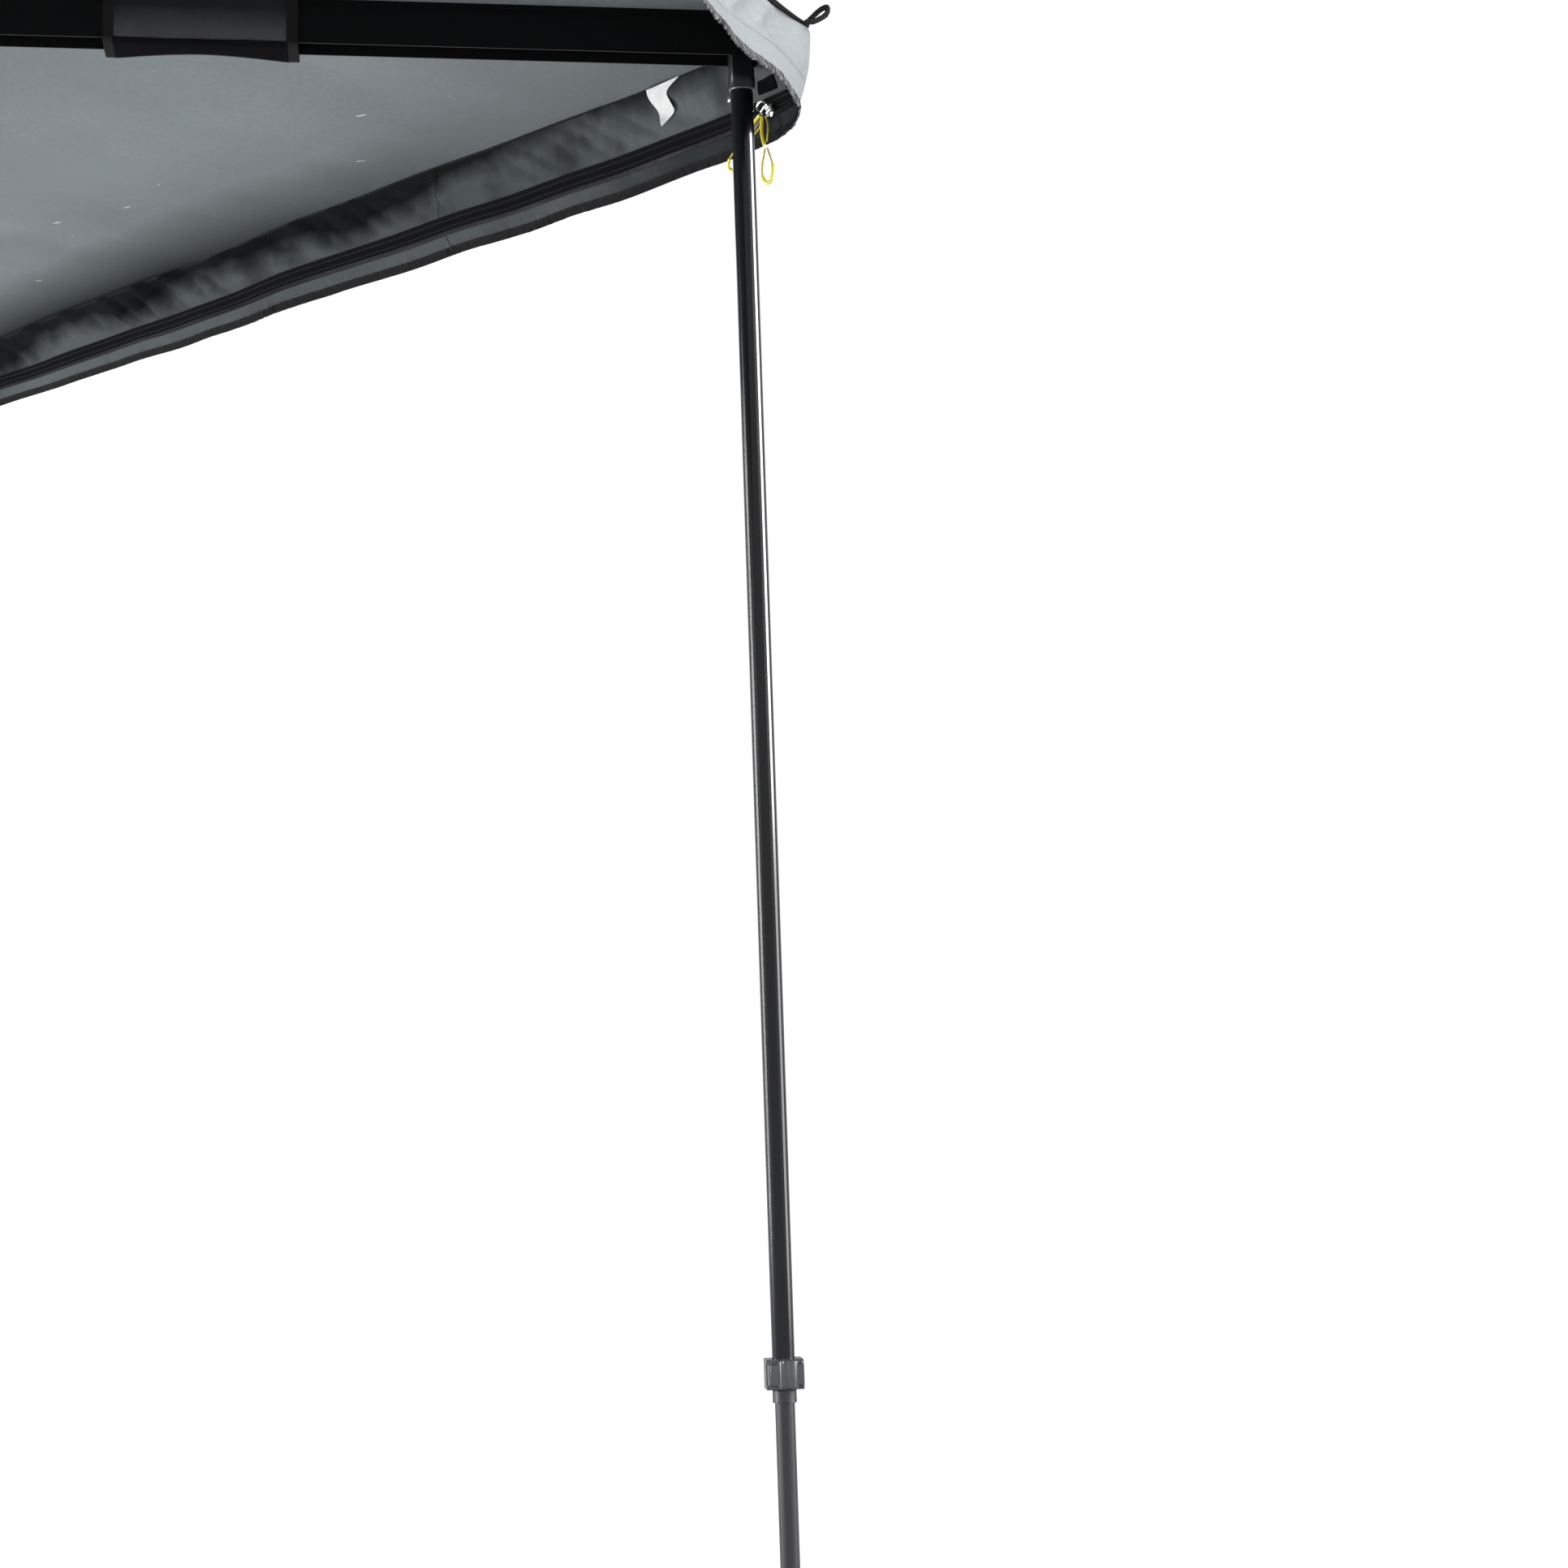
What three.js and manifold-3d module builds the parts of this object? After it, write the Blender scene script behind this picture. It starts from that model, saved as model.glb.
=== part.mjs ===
// A 180 degree side awning for a vehicle, open, in millimetres with Z up.
// One arm lies fixed along a rail on the vehicle's side. Three more swing out about one kingpin
// at the rail's end, each with a telescopic leg that folds up into the arm, and carry a canopy.
// X runs along the rail, Y points away from the vehicle. The origin is on the underside of the
// rear rack bracket's foot.
import * as THREE from 'three';
import { mergeVertices } from 'three/addons/utils/BufferGeometryUtils.js';
import Module from 'manifold-3d';

const wasm = await Module();
wasm.setup();

// The whole awning
const swingArmCount = 3;
const openAngle = Math.PI;
const armStep = openAngle / swingArmCount;
const armReach = 2400;
const armStart = 150;
const groundDrop = 2080;
const runGap = 0.3;
const cutOver = 2;
const roundSides = 24;
const smallSides = 16;
const hexSides = 6;
const weldReach = 1e-4;

// The arms' open-bottomed channel
const armWidth = 48;
const armHeight = 50;
const armWall = 2;
const bayHeight = 43;
const grooveBase = 41;
const grooveHeight = 4.5;
const grooveDepth = 1;
const trackOffset = 10;
const trackMouth = 2.5;
const trackWidth = 6;
const trackLip = 1.5;
const trackHeight = 2.8;
const armPitch = 66;

// The rail along the vehicle
const railHeight = 90;
const railDepth = 18;
const railWall = 2.5;
const railBehindPin = 70;
const railShortOfArm = 5;

// The brackets that stand on the roof rack, and their twin-stud plates
const bracketPlaces = { rear: 500, front: 1700 };
const bracketWidth = 84;
const bracketThick = 6;
const bracketFoot = 110;
const bracketSlotWidth = 9;
const bracketSlotLength = 56;
const bracketSlotSpacing = 46;
const studRadius = 4;
const studHeight = 34;
const studNutRadius = 7;
const studNutHeight = 6;
const studPlateWidth = 22;
const studPlateThick = 3;
const studPlateHeight = 86;

// The kingpin, its yoke and the stack of hinge eyes
const pinRadius = 8;
const pinHeadRadius = 14;
const pinHeadHeight = 9;
const pinNutRadius = 13;
const pinNutHeight = 11;
const eyeRadius = 26;
const eyeThick = 15;
const washerThick = 1.5;
const washerRadius = 20;
const yokePlate = 8;
const yokeWeb = 10;
const yokeHalfWidth = 60;
const yokeNoseRadius = 32;
const barHalfWidth = 16;
const tongueLength = 90;
const tongueStandOut = 12;

// Bolts across the arm channel
const crossBoltRadius = 4;
const crossHeadRadius = 7;
const crossHeadHeight = 3;
const hingeBoltInset = 45;

// The end cap of each arm
const capThick = 3;
const capLip = 1.5;
const capPlug = 5;

// The leg: a knuckle in the arm, two tubes, a lever clamp and a foot
const pivotSetback = 26;
const pivotRise = 21.5;
const legLean = THREE.MathUtils.degToRad(1.8);
const knuckleWidth = 27.4;
const knuckleDepth = 38;
const knuckleBody = 46;
const knuckleRim = 8.5;
const knuckleRimRadius = 14.2;
const tubeSocket = 25;
const upperTubeRadius = 12.7;
const upperTubeWall = 1.2;
const upperTubeLength = 1500;
const lowerTubeRadius = 11.1;
const lowerTubeWall = 1;
const lowerTubeInside = 510;
const clampWidth = 41;
const clampHeight = 33;
const clampBack = 18.5;
const clampFront = 15;
const clampSlit = 2;
const clampAboveEnd = 14.5;
const footRadius = 19;
const footNeckRadius = 14;
const footHeight = 45;
const footSole = 15;
const footChamfer = 4;
const footWaistRise = 20;
const footWaistRadius = 17;

// The clamp's lever and the pin it turns on
const leverPinRadius = 2;
const leverBarrelRadius = 4;
const leverPinX = -16;
const leverPinInset = 1.2;
const leverNotchEase = 0.8;
const leverEar = 5;
const leverThick = 3;
const leverFaceGap = 0.6;
const leverThumb = 2.4;
const leverThumbLength = 9;

// The fabric sleeve that holds the folded leg up in the arm
const keeperLength = 216;
const keeperFromLeg = 605;
const keeperThick = 2.5;
const keeperEase = 0.5;
const keeperSag = 8;
const keeperShoulder = 5.5;
const keeperShoulderInset = 10;

// The canopy and its hanging valance
const canopyThick = 1.2;
const canopyStart = 175;
const canopyCorner = 2450;
const canopySeam = 1.2;
const canopyRest = 5;
const canopyEdgeDrop = 8;
const canopyBelly = 14;
const canopyColumns = 16;
const canopyRows = 7;
const valanceRows = 3;
const valanceLength = 112;
const flareReach = 56;
const flareRamp = 150;
const flareFadeFrom = 600;
const flareFadeTo = 1254;
const flareFadeShare = 0.6;
const foldDepth = 6;
const foldLength = 310;
const foldFreeEnd = 130;
const guyLoopRadius = 3;
const guyLoopWidth = 16;
const guyLoopRise = 18;
const guyLoopReach = 22;
const guyLoopInset = 12;
const guyLoopRouteShares = [
  [0.5, -0.2, -0.1],
  [0.4, 0.2, 0.35],
  [0.2, 0.65, 0.85],
  [0, 1, 1],
  [-0.2, 0.95, 0.5],
  [-0.4, 0.55, 0.1],
  [-0.5, 0.2, -0.1],
  [-0.5, -0.2, -0.15],
];
const guyLoopSides = 8;
const guyLoopSteps = 12;

// The zip sliders inside the valance: each panel's is parked at an arm, on that arm's left or right
const sliderPlaces = { 1: [1, -1], 2: [1, 1], 3: [2, 1] };
const zipDrop = 78;
const sliderFromCorner = 88;
const sliderEase = 1;
const sliderLength = 20;
const sliderHeight = 13;
const sliderThick = 6;
const pullWidth = 9;
const pullLength = 89;
const pullThick = 2.4;

// The cover bag, rolled up under the rail, and its two straps
const bagRadius = 31.4;
const bagWaistRadius = 29;
const bagStart = 90;
const bagEnd = 2330;
const bagStrapPlaces = { rear: 560, front: 1860 };
const bagStrapWidth = 38;
const bagStrapThick = 1.2;
const bagStrapEase = 1.5;
const bagWaistLength = 120;
const bagSides = 16;
const bagRings = 29;

// Values that follow from the sizes above
const halfHeight = armHeight / 2;
const pinY = railDepth + runGap + armWidth / 2 + armPitch * swingArmCount / 2;
const stackHalf = (swingArmCount * eyeThick + (swingArmCount + 3) * runGap) / 2 + washerThick;
const pivotReach = armReach - pivotSetback;
const pivotZ = pivotRise - halfHeight;
const legLength = (groundDrop + pivotRise) / Math.cos(legLean);
const knuckleEnd = knuckleBody + knuckleRim;
const upperTubeTop = knuckleEnd - tubeSocket;
const upperTubeEnd = upperTubeTop + upperTubeLength;
const clampEnd = upperTubeEnd - clampAboveEnd;
const clampTop = clampEnd - clampHeight;
const canopyUnder = halfHeight + runGap;
const studPlaneBack = bracketThick + runGap;
const footCentre = studPlaneBack + bracketFoot / 2;

const paint = {
  black: new THREE.MeshStandardMaterial({ color: 0x1b1c1f, roughness: 0.45, metalness: 0.5 }),
  tube: new THREE.MeshStandardMaterial({ color: 0x2a2b2f, roughness: 0.3, metalness: 0.6 }),
  steel: new THREE.MeshStandardMaterial({ color: 0xa9abae, roughness: 0.35, metalness: 0.9 }),
  plastic: new THREE.MeshStandardMaterial({ color: 0x242528, roughness: 0.6, metalness: 0 }),
  rubber: new THREE.MeshStandardMaterial({ color: 0x141415, roughness: 0.9, metalness: 0 }),
  canvas: new THREE.MeshStandardMaterial({ color: 0x8d9698, roughness: 0.9, metalness: 0 }),
  webbing: new THREE.MeshStandardMaterial({ color: 0x1d1d20, roughness: 0.85, metalness: 0 }),
  cover: new THREE.MeshStandardMaterial({ color: 0x202124, roughness: 0.7, metalness: 0 }),
};

// Solids: from three.js geometry to a manifold and back
function solidOf(geometry) {
  const bare = geometry.clone();
  bare.deleteAttribute('normal');
  bare.deleteAttribute('uv');
  const merged = mergeVertices(bare, weldReach);
  const vertProperties = new Float32Array(merged.attributes.position.array);
  const triVerts = new Uint32Array(merged.index.array);
  return new wasm.Manifold(new wasm.Mesh({ numProp: 3, vertProperties, triVerts }));
}

function geometryOf(solid) {
  const mesh = solid.getMesh();
  const geometry = new THREE.BufferGeometry();
  geometry.setAttribute('position', new THREE.BufferAttribute(mesh.vertProperties, mesh.numProp));
  geometry.setIndex(new THREE.BufferAttribute(mesh.triVerts, 1));
  return geometry;
}

function join(...geometries) {
  const [first, ...rest] = geometries.map(solidOf);
  return geometryOf(rest.reduce((sum, next) => sum.add(next), first));
}

function cut(body, ...tools) {
  return geometryOf(tools.map(solidOf).reduce((left, tool) => left.subtract(tool), solidOf(body)));
}

// Plain shapes, each placed by its limits
function block([x0, x1], [y0, y1], [z0, z1]) {
  const geometry = new THREE.BoxGeometry(x1 - x0, y1 - y0, z1 - z0);
  return geometry.translate((x0 + x1) / 2, (y0 + y1) / 2, (z0 + z1) / 2);
}

function uprightRod(radius, [z0, z1], [x, y] = [0, 0], sides = roundSides) {
  const geometry = new THREE.CylinderGeometry(radius, radius, z1 - z0, sides);
  return geometry.rotateX(Math.PI / 2).translate(x, y, (z0 + z1) / 2);
}

function rodAlongY(radius, [y0, y1], [x, z], sides = smallSides) {
  const geometry = new THREE.CylinderGeometry(radius, radius, y1 - y0, sides);
  return geometry.translate(x, (y0 + y1) / 2, z);
}

function pipe(outer, inner, [z0, z1]) {
  const profile = [[inner, z0], [outer, z0], [outer, z1], [inner, z1], [inner, z0]];
  return turned(profile, roundSides);
}

function turned(profile, sides) {
  const points = profile.map(([radius, z]) => new THREE.Vector2(radius, z));
  return new THREE.LatheGeometry(points, sides).rotateX(Math.PI / 2);
}

function outline(points, holes = []) {
  const shape = new THREE.Shape(points.map(([x, y]) => new THREE.Vector2(x, y)));
  for (const hole of holes) {
    shape.holes.push(new THREE.Path(hole.map(([x, y]) => new THREE.Vector2(x, y))));
  }
  return shape;
}

function upright(points, [z0, z1]) {
  const options = { depth: z1 - z0, bevelEnabled: false };
  return new THREE.ExtrudeGeometry(outline(points), options).translate(0, 0, z0);
}

// A section drawn in Y and Z, run along X
function alongX(points, [x0, x1], holes = []) {
  const options = { depth: x1 - x0, bevelEnabled: false };
  const geometry = new THREE.ExtrudeGeometry(outline(points, holes), options);
  const turn = new THREE.Matrix4().makeBasis(
    new THREE.Vector3(0, 1, 0),
    new THREE.Vector3(0, 0, 1),
    new THREE.Vector3(1, 0, 0),
  );
  return geometry.applyMatrix4(turn).translate(x0, 0, 0);
}

function rectangle([x0, x1], [y0, y1]) {
  return [[x0, y0], [x1, y0], [x1, y1], [x0, y1]];
}

function mirrored(points) {
  return [...points, ...points.map(([x, y]) => [-x, y]).reverse()];
}

// A closed skin from rings of points, each ring with as many points
function closedLoft(rings) {
  const sides = rings[0].length;
  const points = rings.flat();
  const faces = [];
  for (let ring = 0; ring + 1 < rings.length; ring += 1) {
    for (let side = 0; side < sides; side += 1) {
      const a = ring * sides + side;
      const b = ring * sides + (side + 1) % sides;
      faces.push(a, b, a + sides, b, b + sides, a + sides);
    }
  }
  const last = (rings.length - 1) * sides;
  for (let side = 1; side + 1 < sides; side += 1) {
    faces.push(0, side + 1, side, last, last + side, last + side + 1);
  }
  return skinOf(points, faces);
}

function skinOf(points, faces) {
  const geometry = new THREE.BufferGeometry();
  const position = new Float32Array(points.flatMap((point) => point.toArray()));
  geometry.setAttribute('position', new THREE.BufferAttribute(position, 3));
  geometry.setIndex(faces);
  return geometry;
}

function add(parent, name, geometry, material) {
  const mesh = new THREE.Mesh(geometry, material);
  mesh.name = name;
  parent.add(mesh);
}

// How far an arm's channel lies to the left of its radius, so that folded arms lie side by side
function armOffset(arm) {
  return (arm - swingArmCount / 2) * armPitch;
}

function channelSection() {
  const side = armWidth / 2;
  const inner = side - armWall;
  const grooveTop = grooveBase + grooveHeight;
  const chamberTop = armHeight - trackLip;
  const chamberBase = chamberTop - trackHeight;
  const half = [
    [inner, bayHeight],
    [inner, 0],
    [side, 0],
    [side, grooveBase],
    [side - grooveDepth, grooveBase],
    [side - grooveDepth, grooveTop],
    [side, grooveTop],
    [side, armHeight],
    [trackOffset + trackMouth / 2, armHeight],
    [trackOffset + trackMouth / 2, chamberTop],
    [trackOffset + trackWidth / 2, chamberTop],
    [trackOffset + trackWidth / 2, chamberBase],
    [trackOffset - trackWidth / 2, chamberBase],
    [trackOffset - trackWidth / 2, chamberTop],
    [trackOffset - trackMouth / 2, chamberTop],
    [trackOffset - trackMouth / 2, armHeight],
  ];
  return mirrored(half).map(([y, z]) => [y, z - halfHeight]);
}

function crossBoltHole(x, z) {
  const reach = armWidth / 2 + cutOver;
  return rodAlongY(crossBoltRadius + runGap, [-reach, reach], [x, z]);
}

function crossBolt(x, z) {
  const face = armWidth / 2 + runGap;
  const end = face + crossHeadHeight;
  return join(
    rodAlongY(crossBoltRadius, [-end, end], [x, z]),
    rodAlongY(crossHeadRadius, [-end, -face], [x, z]),
    rodAlongY(crossHeadRadius, [face, end], [x, z]),
  );
}

function armChannel(hasLeg) {
  const body = alongX(channelSection(), [armStart, armReach]);
  if (!hasLeg) {
    return body;
  }
  return cut(body, crossBoltHole(pivotReach, pivotZ), crossBoltHole(armStart + hingeBoltInset, 0));
}

function endCap() {
  const side = armWidth / 2 + capLip;
  const inner = armWidth / 2 - armWall - runGap;
  const face = armReach + runGap;
  return join(
    block([face, face + capThick], [-side, side], [-halfHeight - capLip, halfHeight]),
    block([armReach - capPlug, face + capThick], [-inner, inner],
      [-halfHeight, bayHeight - halfHeight - runGap]),
  );
}

// The block that carries an arm: an eye on the kingpin, a bar and a tongue inside the channel
function hingeBlock(arm) {
  const offset = armOffset(arm);
  const eyeBase = runGap + washerThick - stackHalf + runGap + (arm - 1) * (eyeThick + runGap);
  const level = [eyeBase, eyeBase + eyeThick];
  const lean = Math.atan2(offset, armStart);
  const across = [-Math.sin(lean) * barHalfWidth, Math.cos(lean) * barHalfWidth];
  const barEnd = armStart - runGap;
  const bar = [
    [-across[0], -across[1]],
    [barEnd, offset - barHalfWidth],
    [barEnd, offset + barHalfWidth],
    across,
  ];
  const inner = armWidth / 2 - armWall - runGap;
  const tongue = block(
    [armStart - tongueStandOut, armStart + tongueLength],
    [offset - inner, offset + inner],
    [-halfHeight + runGap, bayHeight - halfHeight - runGap],
  );
  const whole = join(uprightRod(eyeRadius, level), upright(bar, level), tongue);
  const bolt = crossBoltHole(armStart + hingeBoltInset, 0).translate(0, offset, 0);
  const pinHole = uprightRod(pinRadius + runGap, [level[0] - cutOver, level[1] + cutOver]);
  return cut(whole, pinHole, bolt);
}

// The sleeve under an arm, hung from the canopy on both sides
function legKeeper() {
  const inner = armWidth / 2 + keeperEase;
  const outer = inner + keeperThick;
  const low = -halfHeight - keeperEase;
  const half = [
    [inner - keeperShoulderInset, low - keeperShoulder],
    [inner, low],
    [inner, halfHeight],
    [outer, halfHeight],
    [outer, low - keeperThick / 2],
    [outer - keeperShoulderInset, low - keeperShoulder - keeperThick],
  ];
  const otherHalf = half.map(([y, z]) => [-y, z]).reverse();
  const section = [[0, low - keeperSag], ...half, [0, low - keeperSag - keeperThick], ...otherHalf];
  const centre = pivotReach - keeperFromLeg;
  const run = [centre - keeperLength / 2, centre + keeperLength / 2];
  return alongX(section, run);
}

// Leg pieces hang down from the pivot, at the origin here
function knuckle() {
  const half = knuckleWidth / 2;
  const depth = knuckleDepth / 2;
  const body = join(
    rodAlongY(half, [-depth, depth], [0, 0], roundSides),
    block([-half, half], [-depth, depth], [-knuckleBody, 0]),
    uprightRod(knuckleRimRadius, [-knuckleEnd, -knuckleBody + cutOver]),
  );
  return cut(
    body,
    rodAlongY(crossBoltRadius + runGap, [-depth - cutOver, depth + cutOver], [0, 0]),
    uprightRod(upperTubeRadius + runGap, [-knuckleEnd - cutOver, -upperTubeTop + runGap]),
  );
}

function leverPinY() {
  return leverPinInset - clampFront;
}

function clampBody() {
  const side = clampWidth / 2;
  const height = [-clampEnd, -clampTop];
  const through = [height[0] - cutOver, height[1] + cutOver];
  const between = [height[0] + leverEar, height[1] - leverEar];
  const notch = block(
    [-side - cutOver, leverPinX + leverBarrelRadius + leverNotchEase],
    [-clampFront - cutOver, leverPinY() + leverBarrelRadius + leverNotchEase],
    between,
  );
  const shell = cut(
    block([-side, side], [-clampFront, clampBack], height),
    notch,
    uprightRod(upperTubeRadius + runGap, through),
    block([0, side + cutOver], [-clampSlit / 2, clampSlit / 2], through),
  );
  const pinRun = [between[0] - cutOver, between[1] + cutOver];
  return join(shell, uprightRod(leverPinRadius, pinRun, [leverPinX, leverPinY()], smallSides));
}

function clampLever() {
  const pin = leverPinY();
  const run = [-clampEnd + leverEar + runGap, -clampTop - leverEar - runGap];
  const near = -clampFront - leverFaceGap;
  const tip = clampWidth / 2;
  const plate = [
    [leverPinX, near],
    [leverPinX, near - leverThick],
    [tip - leverThumbLength, near - leverThick],
    [tip, near - leverThumb - leverThick],
    [tip, near - leverThumb],
    [tip - leverThumbLength, near],
  ];
  const whole = join(uprightRod(leverBarrelRadius - runGap, run, [leverPinX, pin], smallSides),
    upright(plate, run));
  const bore = [run[0] - cutOver, run[1] + cutOver];
  return cut(whole, uprightRod(leverPinRadius + runGap, bore, [leverPinX, pin], smallSides));
}

function legFoot() {
  const end = -legLength;
  const bore = lowerTubeRadius + runGap;
  const profile = [
    [0, end],
    [footRadius - footChamfer, end],
    [footRadius, end + footChamfer],
    [footWaistRadius, end + footWaistRise],
    [footNeckRadius, end + footHeight],
    [bore, end + footHeight],
    [bore, end + footSole - runGap],
    [0, end + footSole - runGap],
  ];
  return turned(profile, roundSides);
}

function addLeg(armGroup, arm) {
  const leg = new THREE.Group();
  leg.position.set(pivotReach, armOffset(arm), pivotZ);
  leg.rotation.y = -legLean;
  armGroup.add(leg);
  const upperBore = upperTubeRadius - upperTubeWall;
  const lowerBore = lowerTubeRadius - lowerTubeWall;
  const lowerRun = [footSole - legLength, lowerTubeInside - upperTubeEnd];
  add(leg, `leg_knuckle_${arm}`, knuckle(), paint.plastic);
  add(leg, `leg_upper_tube_${arm}`,
    pipe(upperTubeRadius, upperBore, [-upperTubeEnd, -upperTubeTop]), paint.tube);
  add(leg, `leg_clamp_${arm}`, clampBody(), paint.plastic);
  add(leg, `clamp_lever_${arm}`, clampLever(), paint.plastic);
  add(leg, `leg_lower_tube_${arm}`, pipe(lowerTubeRadius, lowerBore, lowerRun), paint.tube);
  add(leg, `leg_foot_${arm}`, legFoot(), paint.rubber);
}

// A point of the awning's plan: so far along an arm and so far to its left
function onArm(arm, along, left = 0) {
  const turn = arm * armStep;
  const side = armOffset(arm) + left;
  return new THREE.Vector2(
    along * Math.cos(turn) - side * Math.sin(turn),
    pinY + along * Math.sin(turn) + side * Math.cos(turn),
  );
}

// The half of a canopy panel next to one arm: side 1 is on the arm's left, -1 on its right
function halfPanel(arm, side) {
  const other = arm + side;
  const start = onArm(arm, canopyStart, side * canopySeam);
  const corner = onArm(arm, canopyCorner, side * canopySeam);
  const startMid = onArm(other, canopyStart, -side * canopySeam).lerp(start, 1 / 2);
  const edgeMid = onArm(other, canopyCorner, -side * canopySeam).lerp(corner, 1 / 2);
  const edge = edgeMid.clone().sub(corner);
  const halfEdge = edge.length();
  edge.normalize();
  startMid.addScaledVector(edge, -runGap);
  edgeMid.addScaledVector(edge, -runGap);
  const outward = new THREE.Vector2(edge.y, -edge.x).multiplyScalar(side);
  return { start, corner, startMid, edgeMid, edge, halfEdge, outward };
}

// Where the cloth leaves the arm's end cap, as a share of the way from its start to the corner
function canopyLateShare() {
  const slant = (armWidth / 2 + capLip) / Math.tan(Math.PI / 2 - armStep / 2);
  return (armReach + capThick + cutOver + slant - canopyStart) / (canopyCorner - canopyStart);
}

// Height lost towards the edge: late beside the arm, which the cloth rests on, early in mid-panel
function edgeFall(downShare, acrossShare) {
  const fromShare = canopyLateShare() * (1 - acrossShare) ** 2;
  const run = Math.max(0, (downShare - fromShare) / (1 - fromShare));
  return canopyEdgeDrop * run * run;
}

// How far the valance's hem stands out from the crease, so far along from the corner
function valanceReach(along) {
  const flare = 1 - Math.exp(-along / flareRamp);
  const fade = flareFadeShare * THREE.MathUtils.smoothstep(along, flareFadeFrom, flareFadeTo);
  const foldRamp = THREE.MathUtils.clamp((along - foldFreeEnd) / foldFreeEnd, 0, 1);
  const wave = (1 - Math.cos((along - foldFreeEnd) * 2 * Math.PI / foldLength)) / 2;
  return flareReach * flare * (1 - fade) + foldDepth * foldRamp * wave;
}

function valanceDrop(along) {
  return Math.sqrt(valanceLength ** 2 - valanceReach(along) ** 2);
}

function canopyRow(panel, downShare, hangShare) {
  const armSide = panel.start.clone().lerp(panel.corner, downShare);
  const midSide = panel.startMid.clone().lerp(panel.edgeMid, downShare);
  const restWidth = (armWidth / 2 + canopyRest) / Math.sin(Math.PI / 2 - armStep / 2);
  const restShare = restWidth / armSide.distanceTo(midSide);
  const points = [];
  for (let column = 0; column <= canopyColumns; column += 1) {
    const spanShare = Math.max(0, (column - 1) / (canopyColumns - 1));
    const acrossShare = column === 0 ? 0 : restShare + (1 - restShare) * spanShare;
    const along = acrossShare * panel.halfEdge;
    const belly = canopyBelly * Math.sin(Math.PI * downShare) * Math.sin(Math.PI * spanShare / 2);
    const flat = armSide.clone().lerp(midSide, acrossShare);
    flat.addScaledVector(panel.outward, valanceReach(along) * hangShare);
    const hang = edgeFall(downShare, spanShare) + belly + valanceDrop(along) * hangShare;
    points.push(new THREE.Vector3(flat.x, flat.y, canopyUnder + canopyThick - hang));
  }
  return points;
}

function canopySurface(panel) {
  const lateShare = canopyLateShare();
  const rows = [];
  for (let row = 0; row < canopyRows; row += 1) {
    rows.push(canopyRow(panel, lateShare * row / (canopyRows - 1), 0));
  }
  for (let row = 0; row <= valanceRows; row += 1) {
    rows.push(canopyRow(panel, 1, row / valanceRows));
  }
  return rows;
}

// A thin closed sheet below and inside a grid of points, as thick as the cloth
function sheet(rows, thickness, flip) {
  const columns = rows[0].length;
  const points = rows.flat();
  const normals = points.map(() => new THREE.Vector3());
  const quads = [];
  for (let row = 0; row + 1 < rows.length; row += 1) {
    for (let column = 0; column + 1 < columns; column += 1) {
      const a = row * columns + column;
      quads.push([a, a + 1, a + columns, a + columns + 1]);
    }
  }
  for (const [a, b, c, d] of quads) {
    const across = points[d].clone().sub(points[a]);
    const other = points[c].clone().sub(points[b]);
    const normal = across.cross(other).normalize().multiplyScalar(flip ? -1 : 1);
    [a, b, c, d].forEach((index) => normals[index].add(normal));
  }
  const under = points.map((point, index) =>
    point.clone().addScaledVector(normals[index].normalize(), -thickness));
  const count = points.length;
  const faces = [];
  const face = (a, b, c) => faces.push(...(flip ? [a, b, c] : [a, c, b]));
  for (const [a, b, c, d] of quads) {
    face(a, d, b);
    face(a, c, d);
    face(a + count, b + count, d + count);
    face(a + count, d + count, c + count);
  }
  const wall = (a, b) => {
    face(a, b, b + count);
    face(a, b + count, a + count);
  };
  const last = (rows.length - 1) * columns;
  for (let column = 0; column + 1 < columns; column += 1) {
    wall(column, column + 1);
    wall(last + column + 1, last + column);
  }
  for (let row = 0; row + 1 < rows.length; row += 1) {
    wall((row + 1) * columns, row * columns);
    wall(row * columns + columns - 1, (row + 1) * columns + columns - 1);
  }
  return skinOf([...points, ...under], faces);
}

// The cord loop sewn into the canopy's corner, for a guy rope
function guyLoop(arm) {
  const turn = arm * armStep;
  const outward = new THREE.Vector3(Math.cos(turn), Math.sin(turn), 0);
  const sideways = new THREE.Vector3(-Math.sin(turn), Math.cos(turn), 0);
  const corner = onArm(arm, canopyCorner, -guyLoopInset);
  const base = new THREE.Vector3(corner.x, corner.y, canopyUnder + canopyThick - canopyEdgeDrop);
  const route = guyLoopRouteShares.map(([side, out, up]) => base.clone()
    .addScaledVector(sideways, side * guyLoopWidth)
    .addScaledVector(outward, out * guyLoopReach)
    .add(new THREE.Vector3(0, 0, up * guyLoopRise)));
  const ring = [];
  for (let side = 0; side < guyLoopSides; side += 1) {
    const angle = side * 2 * Math.PI / guyLoopSides;
    ring.push([guyLoopRadius * Math.cos(angle), guyLoopRadius * Math.sin(angle)]);
  }
  const options = {
    steps: guyLoopSteps,
    extrudePath: new THREE.CatmullRomCurve3(route),
    bevelEnabled: false,
  };
  return new THREE.ExtrudeGeometry(outline(ring), options);
}

function canopyHalf(arm, side) {
  return sheet(canopySurface(halfPanel(arm, side)), canopyThick, side > 0);
}

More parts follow.
